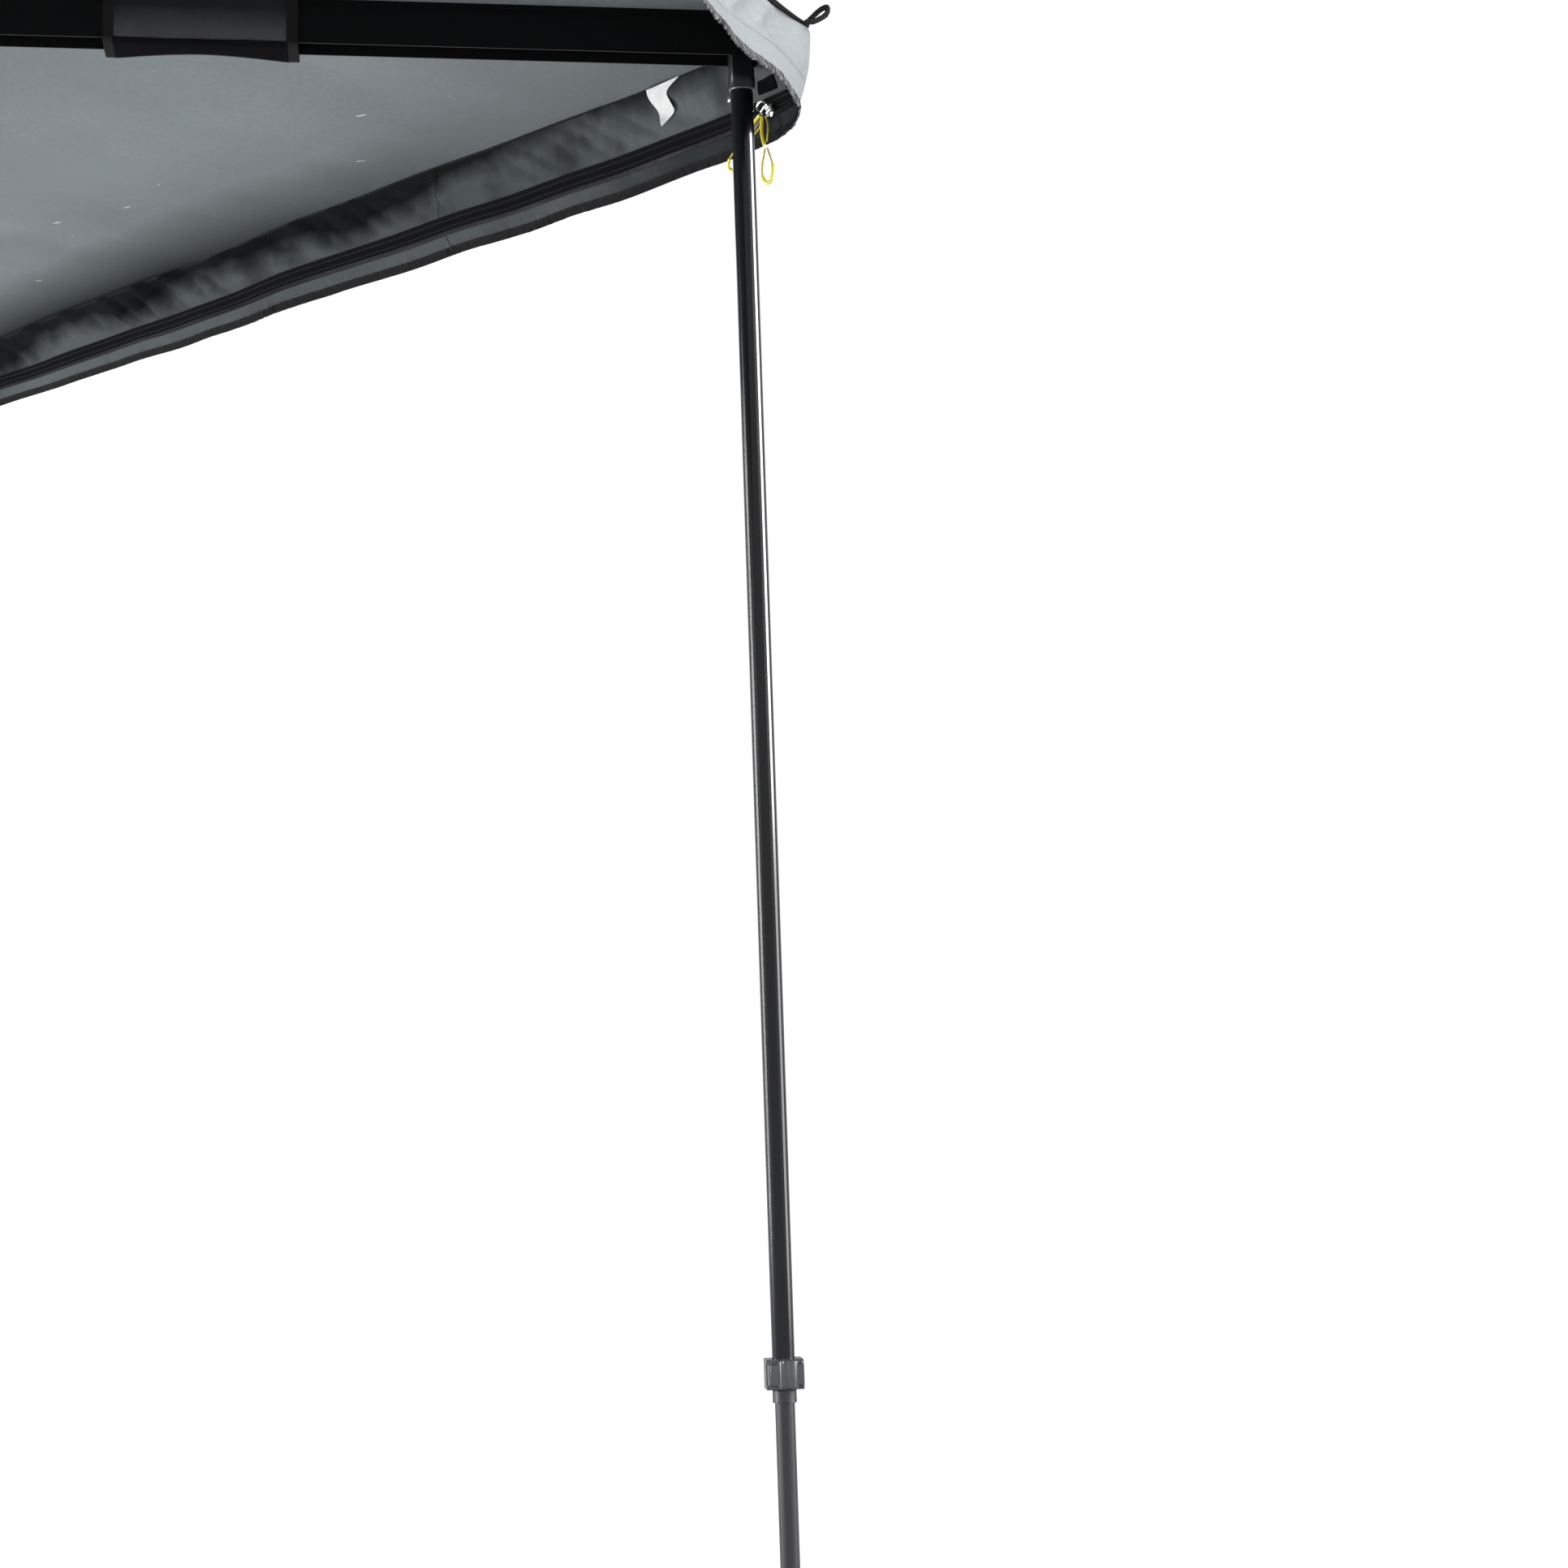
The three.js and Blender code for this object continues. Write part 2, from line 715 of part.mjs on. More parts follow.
// A zip slider with its pull, just inside the valance beside an arm's corner
function zipSlider(arm, side) {
  const panel = halfPanel(arm, side);
  const angle = Math.atan2(panel.edge.y, panel.edge.x);
  const nearEnd = sliderFromCorner - sliderLength / 2;
  const topShare = (zipDrop - sliderHeight / 2) / valanceDrop(nearEnd);
  const clothOut = valanceReach(nearEnd) * topShare - canopyThick - sliderEase;
  const middle = panel.corner.clone().addScaledVector(panel.edge, sliderFromCorner)
    .addScaledVector(panel.outward, clothOut - sliderThick / 2);
  const z = canopyUnder + canopyThick - canopyEdgeDrop - zipDrop;
  const body = block([-sliderLength / 2, sliderLength / 2], [-sliderThick / 2, sliderThick / 2],
    [-sliderHeight / 2, sliderHeight / 2]);
  const pull = block([-pullWidth / 2, pullWidth / 2], [-pullThick / 2, pullThick / 2], [-pullLength, 0]);
  return join(body, pull).rotateZ(angle).translate(middle.x, middle.y, z);
}

function rail() {
  const half = railHeight / 2;
  const web = railWall / 2;
  const inside = [railWall, railDepth - railWall];
  const run = [-railBehindPin, armReach - railShortOfArm];
  const body = alongX(rectangle([0, railDepth], [-half, half]), run, [
    rectangle(inside, [web, half - railWall]),
    rectangle(inside, [railWall - half, -web]),
  ]);
  const holes = [];
  for (const x of Object.values(bracketPlaces)) {
    for (const z of [-studHeight, studHeight]) {
      holes.push(rodAlongY(studRadius + runGap, [-cutOver, railDepth + cutOver], [x, z]));
    }
  }
  return cut(body, ...holes);
}

function rackBracket(x) {
  const half = railHeight / 2;
  const back = -studPlaneBack;
  const section = [
    [-runGap, half],
    [back, half],
    [back, bracketThick - half],
    [back - bracketFoot, bracketThick - half],
    [back - bracketFoot, -half],
    [-runGap, -half],
  ];
  const body = alongX(section, [x - bracketWidth / 2, x + bracketWidth / 2]);
  const slots = [-bracketSlotSpacing / 2, bracketSlotSpacing / 2].map((shift) => block(
    [x + shift - bracketSlotWidth / 2, x + shift + bracketSlotWidth / 2],
    [-footCentre - bracketSlotLength / 2, -footCentre + bracketSlotLength / 2],
    [-half - cutOver, bracketThick - half + cutOver],
  ));
  const holes = [-studHeight, studHeight].map((z) =>
    rodAlongY(studRadius + runGap, [back - cutOver, cutOver], [x, z]));
  return cut(body, ...slots, ...holes);
}

// Two studs on one plate, through a bracket and the rail, with a nut on each
function studPlate(x) {
  const back = -studPlaneBack - runGap;
  const front = railDepth + runGap;
  const halfPlate = studPlateHeight / 2;
  const halfWidth = studPlateWidth / 2;
  const studs = [-studHeight, studHeight].flatMap((z) => [
    rodAlongY(studRadius, [back - studPlateThick / 2, front + studNutHeight], [x, z]),
    rodAlongY(studNutRadius, [front, front + studNutHeight], [x, z], hexSides),
  ]);
  const plate = block([x - halfWidth, x + halfWidth], [back - studPlateThick, back],
    [bracketThick + runGap - halfPlate, halfPlate]);
  return join(plate, ...studs);
}

function hubYoke() {
  const face = railDepth + runGap;
  const plan = [
    [-yokeHalfWidth, face],
    [yokeHalfWidth, face],
    [yokeNoseRadius, pinY],
    [-yokeNoseRadius, pinY],
  ];
  const top = [stackHalf, stackHalf + yokePlate];
  const bottom = [-stackHalf - yokePlate, -stackHalf];
  const body = join(
    upright(plan, top),
    upright(plan, bottom),
    uprightRod(yokeNoseRadius, top, [0, pinY]),
    uprightRod(yokeNoseRadius, bottom, [0, pinY]),
    block([-yokeHalfWidth, yokeHalfWidth], [face, face + yokeWeb], [bottom[0], top[1]]),
  );
  return cut(body, uprightRod(pinRadius + runGap, [bottom[0] - cutOver, top[1] + cutOver], [0, pinY]));
}

function kingpin() {
  const top = stackHalf + yokePlate + runGap;
  return join(
    uprightRod(pinRadius, [-top - pinNutHeight, top], [0, pinY]),
    uprightRod(pinHeadRadius, [top, top + pinHeadHeight], [0, pinY], hexSides),
  );
}

function kingpinNut() {
  const top = -stackHalf - yokePlate - runGap;
  const nut = uprightRod(pinNutRadius, [top - pinNutHeight, top], [0, pinY], hexSides);
  return cut(nut, uprightRod(pinRadius + runGap, [top - pinNutHeight - cutOver, top + cutOver], [0, pinY]));
}

function thrustWasher(base) {
  return pipe(washerRadius, pinRadius + runGap, [base, base + washerThick]).translate(0, pinY, 0);
}

// Where the bag's straps touch the rail's lower front edge and stay clear of the vehicle
function bagCentre() {
  const reach = bagWaistRadius + bagStrapEase + bagStrapThick + runGap;
  return [reach, -railHeight / 2 - Math.sqrt(reach ** 2 - (reach - railDepth) ** 2)];
}

// The rolled cover, drawn in where a strap goes round it
function rolledBag() {
  const [y, z] = bagCentre();
  const rings = [];
  for (let ring = 0; ring < bagRings; ring += 1) {
    const x = bagStart + (bagEnd - bagStart) * ring / (bagRings - 1);
    const near = Math.min(...Object.values(bagStrapPlaces).map((place) => Math.abs(x - place)));
    const fullShare = Math.min(1, near / bagWaistLength) ** 2;
    const radius = bagWaistRadius + (bagRadius - bagWaistRadius) * fullShare;
    const points = [];
    for (let side = 0; side < bagSides; side += 1) {
      const angle = side * 2 * Math.PI / bagSides;
      points.push(new THREE.Vector3(x, y + radius * Math.cos(angle), z + radius * Math.sin(angle)));
    }
    rings.push(points);
  }
  return closedLoft(rings);
}

function bagStrap(x) {
  const [y, z] = bagCentre();
  const inner = bagWaistRadius + bagStrapEase;
  const outer = inner + bagStrapThick;
  const band = pipe(outer, inner, [-bagStrapWidth / 2, bagStrapWidth / 2]);
  return band.rotateY(Math.PI / 2).translate(x, y, z);
}

const awning = new THREE.Group();
const placed = new THREE.Group();
placed.position.set(-bracketPlaces.rear, footCentre, railHeight / 2);
awning.add(placed);

add(placed, 'backing_rail', rail(), paint.black);
for (const [place, x] of Object.entries(bracketPlaces)) {
  add(placed, `rack_bracket_${place}`, rackBracket(x), paint.black);
  add(placed, `bracket_stud_plate_${place}`, studPlate(x), paint.steel);
}
add(placed, 'hub_yoke', hubYoke(), paint.black);
add(placed, 'kingpin', kingpin(), paint.steel);
add(placed, 'kingpin_nut', kingpinNut(), paint.steel);
add(placed, 'thrust_washer_bottom', thrustWasher(-stackHalf + runGap), paint.plastic);
add(placed, 'thrust_washer_top', thrustWasher(stackHalf - runGap - washerThick), paint.plastic);
add(placed, 'rolled_cover_bag', rolledBag(), paint.cover);
for (const [place, x] of Object.entries(bagStrapPlaces)) {
  add(placed, `bag_strap_${place}`, bagStrap(x), paint.webbing);
}

for (let arm = 0; arm <= swingArmCount; arm += 1) {
  const armGroup = new THREE.Group();
  armGroup.position.set(0, pinY, 0);
  armGroup.rotation.z = arm * armStep;
  placed.add(armGroup);
  const offset = armOffset(arm);
  add(armGroup, `arm_channel_${arm}`, armChannel(arm > 0).translate(0, offset, 0), paint.black);
  add(armGroup, `arm_end_cap_${arm}`, endCap().translate(0, offset, 0), paint.plastic);
  if (arm > 0) {
    add(armGroup, `hinge_block_${arm}`, hingeBlock(arm), paint.steel);
    add(armGroup, `hinge_bolt_${arm}`,
      crossBolt(armStart + hingeBoltInset, 0).translate(0, offset, 0), paint.steel);
    add(armGroup, `leg_pivot_bolt_${arm}`,
      crossBolt(pivotReach, pivotZ).translate(0, offset, 0), paint.steel);
    add(armGroup, `leg_keeper_${arm}`, legKeeper().translate(0, offset, 0), paint.canvas);
    addLeg(armGroup, arm);
    add(placed, `canopy_${arm}_inner`, join(canopyHalf(arm, -1), guyLoop(arm)), paint.canvas);
  }
  if (arm < swingArmCount) {
    add(placed, `canopy_${arm}_outer`, canopyHalf(arm, 1), paint.canvas);
  }
}

for (const [panel, [arm, side]] of Object.entries(sliderPlaces)) {
  add(placed, `zip_slider_${panel}`, zipSlider(arm, side), paint.steel);
}

export default awning;
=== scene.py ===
"""A 180 degree vehicle side awning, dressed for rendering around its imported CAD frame."""

import math

import bmesh
import bpy
import numpy as np
from mathutils import Matrix, Vector


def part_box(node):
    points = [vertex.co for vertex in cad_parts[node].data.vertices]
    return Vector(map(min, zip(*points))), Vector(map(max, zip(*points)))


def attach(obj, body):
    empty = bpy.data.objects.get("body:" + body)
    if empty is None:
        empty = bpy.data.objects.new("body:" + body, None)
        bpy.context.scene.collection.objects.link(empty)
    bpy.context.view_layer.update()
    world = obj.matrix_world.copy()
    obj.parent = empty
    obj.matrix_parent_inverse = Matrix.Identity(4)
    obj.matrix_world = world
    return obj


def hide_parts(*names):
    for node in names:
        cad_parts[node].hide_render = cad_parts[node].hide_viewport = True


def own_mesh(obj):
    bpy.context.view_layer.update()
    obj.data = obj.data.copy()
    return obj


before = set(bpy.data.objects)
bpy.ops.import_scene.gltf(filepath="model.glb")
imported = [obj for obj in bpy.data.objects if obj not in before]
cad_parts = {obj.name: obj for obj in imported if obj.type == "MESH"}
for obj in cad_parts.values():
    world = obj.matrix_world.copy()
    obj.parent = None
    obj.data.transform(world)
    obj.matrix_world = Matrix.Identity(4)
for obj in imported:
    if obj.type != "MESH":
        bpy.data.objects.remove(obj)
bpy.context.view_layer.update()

# Plan of the awning, in metres, as the CAD has it: arms a step apart, each a pitch beside the last
ARMS = 4
STEP = math.radians(60)
PIN = np.array([-0.5, 0.2026])
PITCH = 0.066

# Along an arm: where the canvas starts and has its corner, and the arm's own section and reach
START = 0.175
CORNER = 2.45
ARM_HALF = 0.024
ARM_LOW = 0.020
ARM_TOP = 0.070
ARM_REACH = 2.4
GROUND = -2.06

# The canopy: its top's level, its fall to the edge, its sag, and how far it lies flat beside an arm
TOP = 0.0715
EDGE_DROP = 0.008
BELLY = 0.014
REST = 0.005
CREASE_Z = TOP - EDGE_DROP
CREASE_SWAY = 0.0032
CLOTH = 0.0009

# The valance: its length down from the crease, and how far its hem stands out, less towards mid-panel
SLANT = 0.112
FLARE = 0.056
FLARE_RAMP = 0.150
FADE_FROM = 0.600
FADE_TO = 1.254
FADE_SHARE = 0.6

# The valance's folds, its uneven hem, and how its corner is drawn in
FOLD = 0.006
FOLD_LENGTH = 0.310
FOLD_FREE = 0.130
HEM_SWELL = 0.005
HEM_TAPER = 0.008
CORNER_PULL = 0.013
CORNER_REACH = 0.045
CORNER_BULGE = 0.0045

# What lies on the valance, down from the crease: the zip's tape, teeth, flap and welts, and the hem's binding
TAPE = (0.063, 0.0835)
COIL = 0.0843
FLAP = (0.0730, 0.0735, 0.0752, 0.0760)
WELTS = {"upper": 0.0686, "lower": 0.0770}
BINDING = 0.0095
STUD_ALONG, STUD_DOWN = 0.168, 0.048

# The sliders: where each is parked along and down its valance, and each panel's arm and side
SLIDER_ALONG = 0.088
SLIDER_DOWN = 0.078
SLIDERS = {1: (1, -1), 2: (1, 1), 3: (2, 1)}

# The canvas's length along an arm, and the way up
RUN = CORNER - START
UP = np.array([0, 0, 1.0])

# The waves already drawn, by seed
WAVE_SETS = {}


# Small maths
def unit(v):
    v = np.asarray(v, float)
    return v / np.linalg.norm(v, axis=-1, keepdims=True)


def smooth(x, low, high):
    t = np.clip((np.asarray(x, float) - low) / (high - low), 0, 1)
    return t * t * (3 - 2 * t)


def run_along(path):
    """How far along a path each of its points lies."""
    return np.concatenate([[0], np.cumsum(np.linalg.norm(np.diff(path, axis=0), axis=1))])


def circle(count):
    """That many angles, evenly round a full turn."""
    return np.arange(count) * 2 * math.pi / count


def stacked(*parts):
    """Arrays broadcast against each other, then joined point by point."""
    return np.stack(np.broadcast_arrays(*parts), axis=-1)


def waves(x, y, size, seed, count=8):
    """Smooth noise of about that size, from -1 to 1, the same for the same seed."""
    if seed not in WAVE_SETS:
        made = np.random.default_rng(seed)
        WAVE_SETS[seed] = (
            made.uniform(0, 2 * math.pi, count),
            made.uniform(0.65, 1.5, count),
            made.uniform(0, 2 * math.pi, count),
        )
    turn, stretch, phase = WAVE_SETS[seed]
    total = 0
    for t, s, p in zip(turn, stretch, phase):
        total = total + np.sin(2 * math.pi * (x * math.cos(t) + y * math.sin(t)) / (size * s) + p)
    return total / math.sqrt(count * 1.6)


def ridges(x, y, size, seed):
    """Noise with sharp creases, from about -1 to 1."""
    return 1 - 2 * np.abs(waves(x, y, size, seed))


def on_arm(arm, along, left=0.0):
    """The plan's x and y of a place on an arm: so far along it from the pin, and to its left."""
    turn = arm * STEP
    side = (arm - (ARMS - 1) / 2) * PITCH + left
    x = PIN[0] + along * math.cos(turn) - side * math.sin(turn)
    y = PIN[1] + along * math.sin(turn) + side * math.cos(turn)
    return stacked(x, y)


def arm_point(arm, along, left, z):
    plan = on_arm(arm, along, left)
    return stacked(plan[..., 0], plan[..., 1], z)


def arm_axes(arm):
    """Unit vectors out along an arm and to its left."""
    turn = arm * STEP
    outward = np.array([math.cos(turn), math.sin(turn), 0])
    return outward, np.array([-outward[1], outward[0], 0])


def body_of_arm(arm):
    return "root" if arm == 0 else f"arm_{arm}"


# Meshes
def build(name, points, faces, looks, which=None, uv=None, sharp=35):
    """A mesh object: looks are names in LOOKS, which gives each face its own, and uv goes by point."""
    mesh = bpy.data.meshes.new(name)
    mesh.from_pydata(np.asarray(points, float).reshape(-1, 3).tolist(), [],
                     [[int(i) for i in face] for face in faces])
    for look in looks:
        mesh.materials.append(LOOKS[look])
    if which is not None:
        mesh.polygons.foreach_set("material_index", np.asarray(which, np.int32))
    if uv is not None:
        layer = mesh.uv_layers.new(name="cloth")
        corner = np.zeros(len(mesh.loops), np.int32)
        mesh.loops.foreach_get("vertex_index", corner)
        layer.data.foreach_set("uv", np.asarray(uv, np.float32).reshape(-1, 2)[corner].ravel())
    mesh.polygons.foreach_set("use_smooth", np.ones(len(mesh.polygons), bool))
    held = bmesh.new()
    held.from_mesh(mesh)
    bmesh.ops.recalc_face_normals(held, faces=held.faces)
    held.to_mesh(mesh)
    held.free()
    mesh.set_sharp_from_angle(angle=math.radians(sharp))
    obj = bpy.data.objects.new(name, mesh)
    bpy.context.scene.collection.objects.link(obj)
    return obj


def dress(obj, mover, stands_for=None):
    """Gives a piece the node it stands for, and what it moves with: a body or a half panel."""
    if stands_for:
        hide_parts(stands_for)
    if isinstance(mover, str):
        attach(obj, mover)
    else:
        mover.fold(obj)
    return obj


def piece(name, made, looks, slot, mover, stands_for=None, **how):
    """A dressed piece, from its points and faces."""
    return dress(build(name, *made, looks, **how), mover, stands_for)


def quads(rows, cols, first=0):
    r, c = np.meshgrid(np.arange(rows - 1), np.arange(cols - 1), indexing="ij")
    a = (r * cols + c).ravel() + first
    return np.stack([a, a + 1, a + cols + 1, a + cols], 1)


def halved(faces):
    """Quads cut along one diagonal, the same on both faces of a sheet, so neither comes through the other."""
    return np.concatenate([faces[:, [0, 1, 2]], faces[:, [0, 2, 3]]])


def rim(rows, cols):
    top = np.arange(cols)
    right = np.arange(1, rows) * cols + cols - 1
    bottom = (rows - 1) * cols + np.arange(cols - 2, -1, -1)
    left = np.arange(rows - 2, 0, -1) * cols
    return np.concatenate([top, right, bottom, left])


def grid_normals(grid):
    return unit(np.cross(np.gradient(grid, axis=1), np.gradient(grid, axis=0)))


def sheet(name, grid, thick, looks, facing, uv=None, sharp=50):
    """A closed thin sheet: its first look on the side that faces, its last on the other."""
    rows, cols = grid.shape[:2]
    normal = grid_normals(grid)
    if (normal * np.asarray(facing, float)).sum() < 0:
        normal = -normal
    count = rows * cols
    points = np.concatenate([grid.reshape(-1, 3), (grid - normal * thick).reshape(-1, 3)])
    outer = halved(quads(rows, cols))
    inner = halved(quads(rows, cols, count))[:, ::-1]
    edge = rim(rows, cols)
    after = np.roll(edge, -1)
    wall = np.stack([after, edge, edge + count, after + count], 1)
    faces = [*outer, *inner, *wall]
    which = np.concatenate([
        np.zeros(len(outer)), np.full(len(inner), len(looks) - 1), np.zeros(len(wall))])
    if uv is not None:
        uv = np.concatenate([uv.reshape(-1, 2), uv.reshape(-1, 2)])
    return build(name, points, faces, looks, which, uv, sharp)


def loft(rings, closed=True):
    """Faces round rings of points, with flat ends; rings is rows by points round by 3."""
    rows, sides = rings.shape[:2]
    r, c = np.meshgrid(np.arange(rows - 1), np.arange(sides), indexing="ij")
    a, b = (r * sides + c).ravel(), (r * sides + (c + 1) % sides).ravel()
    faces = np.stack([a, b, b + sides, a + sides], 1).tolist()
    if closed:
        faces.append(list(range(sides - 1, -1, -1)))
        faces.append(list(range((rows - 1) * sides, rows * sides)))
    return rings.reshape(-1, 3), faces


def merged(parts):
    """Several lists of points and faces as one."""
    points, faces, start = [], [], 0
    for p, f in parts:
        points.append(np.asarray(p, float).reshape(-1, 3))
        faces.extend([[i + start for i in face] for face in f])
        start += len(points[-1])
    return np.concatenate(points), faces


def axes_along(path, hint=(0, 0, 1)):
    """Two axes across a path at each of its points, carried along without twist."""
    tangent = unit(np.gradient(path, axis=0))
    side = np.cross(tangent[0], hint)
    if np.linalg.norm(side) < 1e-3:
        side = np.cross(tangent[0], (1, 0, 0))
    side = unit(side)
    sides = []
    for t in tangent:
        side = unit(side - t * (side @ t))
        sides.append(side)
    sides = np.array(sides)
    return sides, np.cross(tangent, sides)


def tube_rings(path, radius, sides=10, lobes=0, depth=0.0, turns=0.0):
    path = np.asarray(path, float)
    a, b = axes_along(path)
    radius = np.broadcast_to(radius, len(path))
    length = run_along(path)
    angle = circle(sides)
    swell = 1 + depth * np.cos(lobes * angle[None] + turns * 2 * math.pi * length[:, None])
    r = radius[:, None] * swell
    return (path[:, None] + a[:, None] * (r * np.cos(angle))[..., None]
            + b[:, None] * (r * np.sin(angle))[..., None])


def spline(points, steps):
    """A smooth curve through points, steps to each span."""
    p = np.asarray(points, float)
    p = np.concatenate([[2 * p[0] - p[1]], p, [2 * p[-1] - p[-2]]])
    t = np.arange(steps)[:, None] / steps
    spans = []
    for i in range(1, len(p) - 2):
        a, b, c, d = p[i - 1:i + 3]
        spans.append(0.5 * (2 * b + (c - a) * t + (2 * a - 5 * b + 4 * c - d) * t ** 2
                            + (3 * b - a - 3 * c + d) * t ** 3))
    return np.concatenate(spans + [p[-2:-1]])


def rounded_box(size, round_by, steps=3):
    """The outline rings of a box with rounded edges, centred at the origin."""
    half = np.asarray(size, float) / 2
    r = min(round_by, *half)
    corner = np.linspace(0, math.pi / 2, steps + 1)
    outline = []
    for sx, sy, turn in ((1, 1, 0), (-1, 1, 1), (-1, -1, 2), (1, -1, 3)):
        for angle in corner + turn * math.pi / 2:
            outline.append([sx * (half[0] - r) + r * math.cos(angle),
                            sy * (half[1] - r) + r * math.sin(angle)])
    outline = np.array(outline)
    rings = []
    for angle in np.concatenate([-corner[::-1], corner]):
        inset = r * (1 - math.cos(angle))
        z = math.copysign(half[2] - r, angle if angle else -1) + r * math.sin(angle)
        shrink = 1 - inset / half[:2]
        rings.append(np.column_stack([outline * shrink, np.full(len(outline), z)]))
    rings[steps][:, 2] = -(half[2] - r)
    rings[steps + 1][:, 2] = half[2] - r
    return np.array(rings)


def placed(rings, origin, x, y, z):
    """Rings drawn at the origin, set at a place with these three axes."""
    axes = np.stack([x, y, z])
    return np.asarray(origin, float) + rings @ axes


def disc_rings(radius, height, sides=16, dome=0.35):
    """A low domed disc, such as a rivet or screw head, up from the origin."""
    angle = circle(sides)
    ring = np.column_stack([np.cos(angle), np.sin(angle), np.zeros(sides)])
    rows = []
    for r, h in ((1, 0), (1, 1 - dome), (0.86, 1 - dome / 3), (0.6, 1), (0.2, 1.03)):
        rows.append(ring * radius * r + [0, 0, height * h])
    return np.array(rows)


def block(size, round_by, middle, *axes):
    """A box with rounded edges about its middle, turned to these three axes."""
    return loft(placed(rounded_box(size, round_by), middle, *axes))


# Materials
class Nodes:
    """A node tree built from nothing, with shorthand for its nodes."""

    def __init__(self, tree):
        self.tree = tree
        tree.nodes.clear()

    def node(self, kind, inputs=None, **props):
        made = self.tree.nodes.new(kind)
        for key, value in props.items():
            setattr(made, key, value)
        for key, value in (inputs or {}).items():
            if isinstance(value, bpy.types.NodeSocket):
                self.tree.links.new(value, made.inputs[key])
            else:
                made.inputs[key].default_value = value
        return made

    def math(self, operation, a, b=0.5):
        return self.node("ShaderNodeMath", {0: a, 1: b}, operation=operation).outputs[0]

    def seen_by(self, *rays):
        """1 for these kinds of ray, 0 for the others."""
        path = self.node("ShaderNodeLightPath")
        share = path.outputs[f"Is {rays[0]} Ray"]
        for ray in rays[1:]:
            share = self.math("MAXIMUM", share, path.outputs[f"Is {ray} Ray"])
        return share


class Look(Nodes):
    """A node material: Principled BSDF with procedural colour, roughness and bump."""

    def __init__(self, name, **sockets):
        self.material = bpy.data.materials.new(name)
        self.material.use_nodes = True
        super().__init__(self.material.node_tree)
        self.shader = self.node("ShaderNodeBsdfPrincipled")
        self.node("ShaderNodeOutputMaterial", {"Surface": self.shader.outputs[0]})
        place = self.node("ShaderNodeTexCoord")
        self.uv, self.spot = place.outputs["UV"], place.outputs["Object"]
        for key, value in sockets.items():
            self.shader.inputs[key.replace("_", " ")].default_value = value

    def part(self, vector, index):
        """One of a vector's three parts."""
        return self.node("ShaderNodeSeparateXYZ", {"Vector": vector}).outputs[index]

    def noise(self, scale, detail=3.0, vector=None, stretch=None, rough=0.55):
        vector = vector or self.spot
        if stretch:
            vector = self.node("ShaderNodeMapping", {"Vector": vector, "Scale": stretch}).outputs[0]
        return self.node("ShaderNodeTexNoise", {
            "Vector": vector, "Scale": scale, "Detail": detail, "Roughness": rough}).outputs[0]

    def weave(self, size):
        """Threads both ways, so many metres apart."""
        inputs = {"Vector": self.uv, "Scale": 0.5 / size, "Distortion": 0.6, "Detail": 1.0,
                  "Detail Scale": 3.0}
        rows = [self.node("ShaderNodeTexWave", inputs, bands_direction=axis) for axis in ("X", "Y")]
        return self.math("MULTIPLY", *[row.outputs["Fac"] for row in rows])

    def specks(self, cells, size, share):
        """Small pale marks, at most one to a cell, in that share of the cells; so many cells to a metre."""
        bend = self.node("ShaderNodeTexNoise", {"Vector": self.spot, "Scale": cells * 9}).outputs["Color"]
        bent = self.node("ShaderNodeVectorMath", {0: bend, 1: (0.012,) * 3}, operation="MULTIPLY").outputs[0]
        where = self.node("ShaderNodeVectorMath", {0: self.spot, 1: bent}, operation="ADD").outputs[0]
        long = self.node("ShaderNodeMapping", {
            "Vector": where, "Rotation": (0, 0, cells), "Scale": (1, 0.24, 1)}).outputs[0]
        cell = self.node("ShaderNodeTexVoronoi", {"Vector": long, "Scale": cells}, voronoi_dimensions="2D")
        near = self.ramp(cell.outputs["Distance"], size * 0.6, size, 1, 0)
        chosen = self.math("LESS_THAN", self.part(cell.outputs["Color"], 0), share)
        return self.math("MULTIPLY", near, chosen)

    def ramp(self, value, low, high, start, end):
        """A value between low and high turned to a value between start and end."""
        return self.node("ShaderNodeMapRange", {
            "Value": value, "From Min": low, "From Max": high, "To Min": start, "To Max": end,
        }).outputs[0]

    def mix(self, share, first, second, blend="MIX"):
        """Two colours, each a socket or plain red, green and blue."""
        first, second = (c if isinstance(c, bpy.types.NodeSocket) else (*c, 1) for c in (first, second))
        return self.node("ShaderNodeMix", {0: share, 6: first, 7: second}, data_type="RGBA",
                         blend_type=blend).outputs[2]

    def tint(self, base, value, low, high, start, end, other):
        """A colour mixed with another, whose share goes from start to end while the value rises."""
        return self.mix(self.ramp(value, low, high, start, end), base, other)

    def finish(self, base, rough, *layers):
        """Links the colour, the roughness if any, and bump in layers of (height, strength, metres)."""
        self.tree.links.new(base, self.shader.inputs["Base Color"])
        if rough:
            self.tree.links.new(rough, self.shader.inputs["Roughness"])
        normal = None
        for height, strength, distance in layers:
            inputs = {"Height": height, "Strength": strength, "Distance": distance}
            if normal:
                inputs["Normal"] = normal
            normal = self.node("ShaderNodeBump", inputs).outputs[0]
        self.tree.links.new(normal, self.shader.inputs["Normal"])
        return self.material


def shade(colour, factor):
    return tuple(min(1.0, c * factor) for c in colour)


# The scuffs on the canvas: cells to a metre, size, and share of the cells that have one
SCUFFS = ((6.0, 0.012, 0.45), (13.0, 0.010, 0.30), (3.4, 0.008, 0.7))


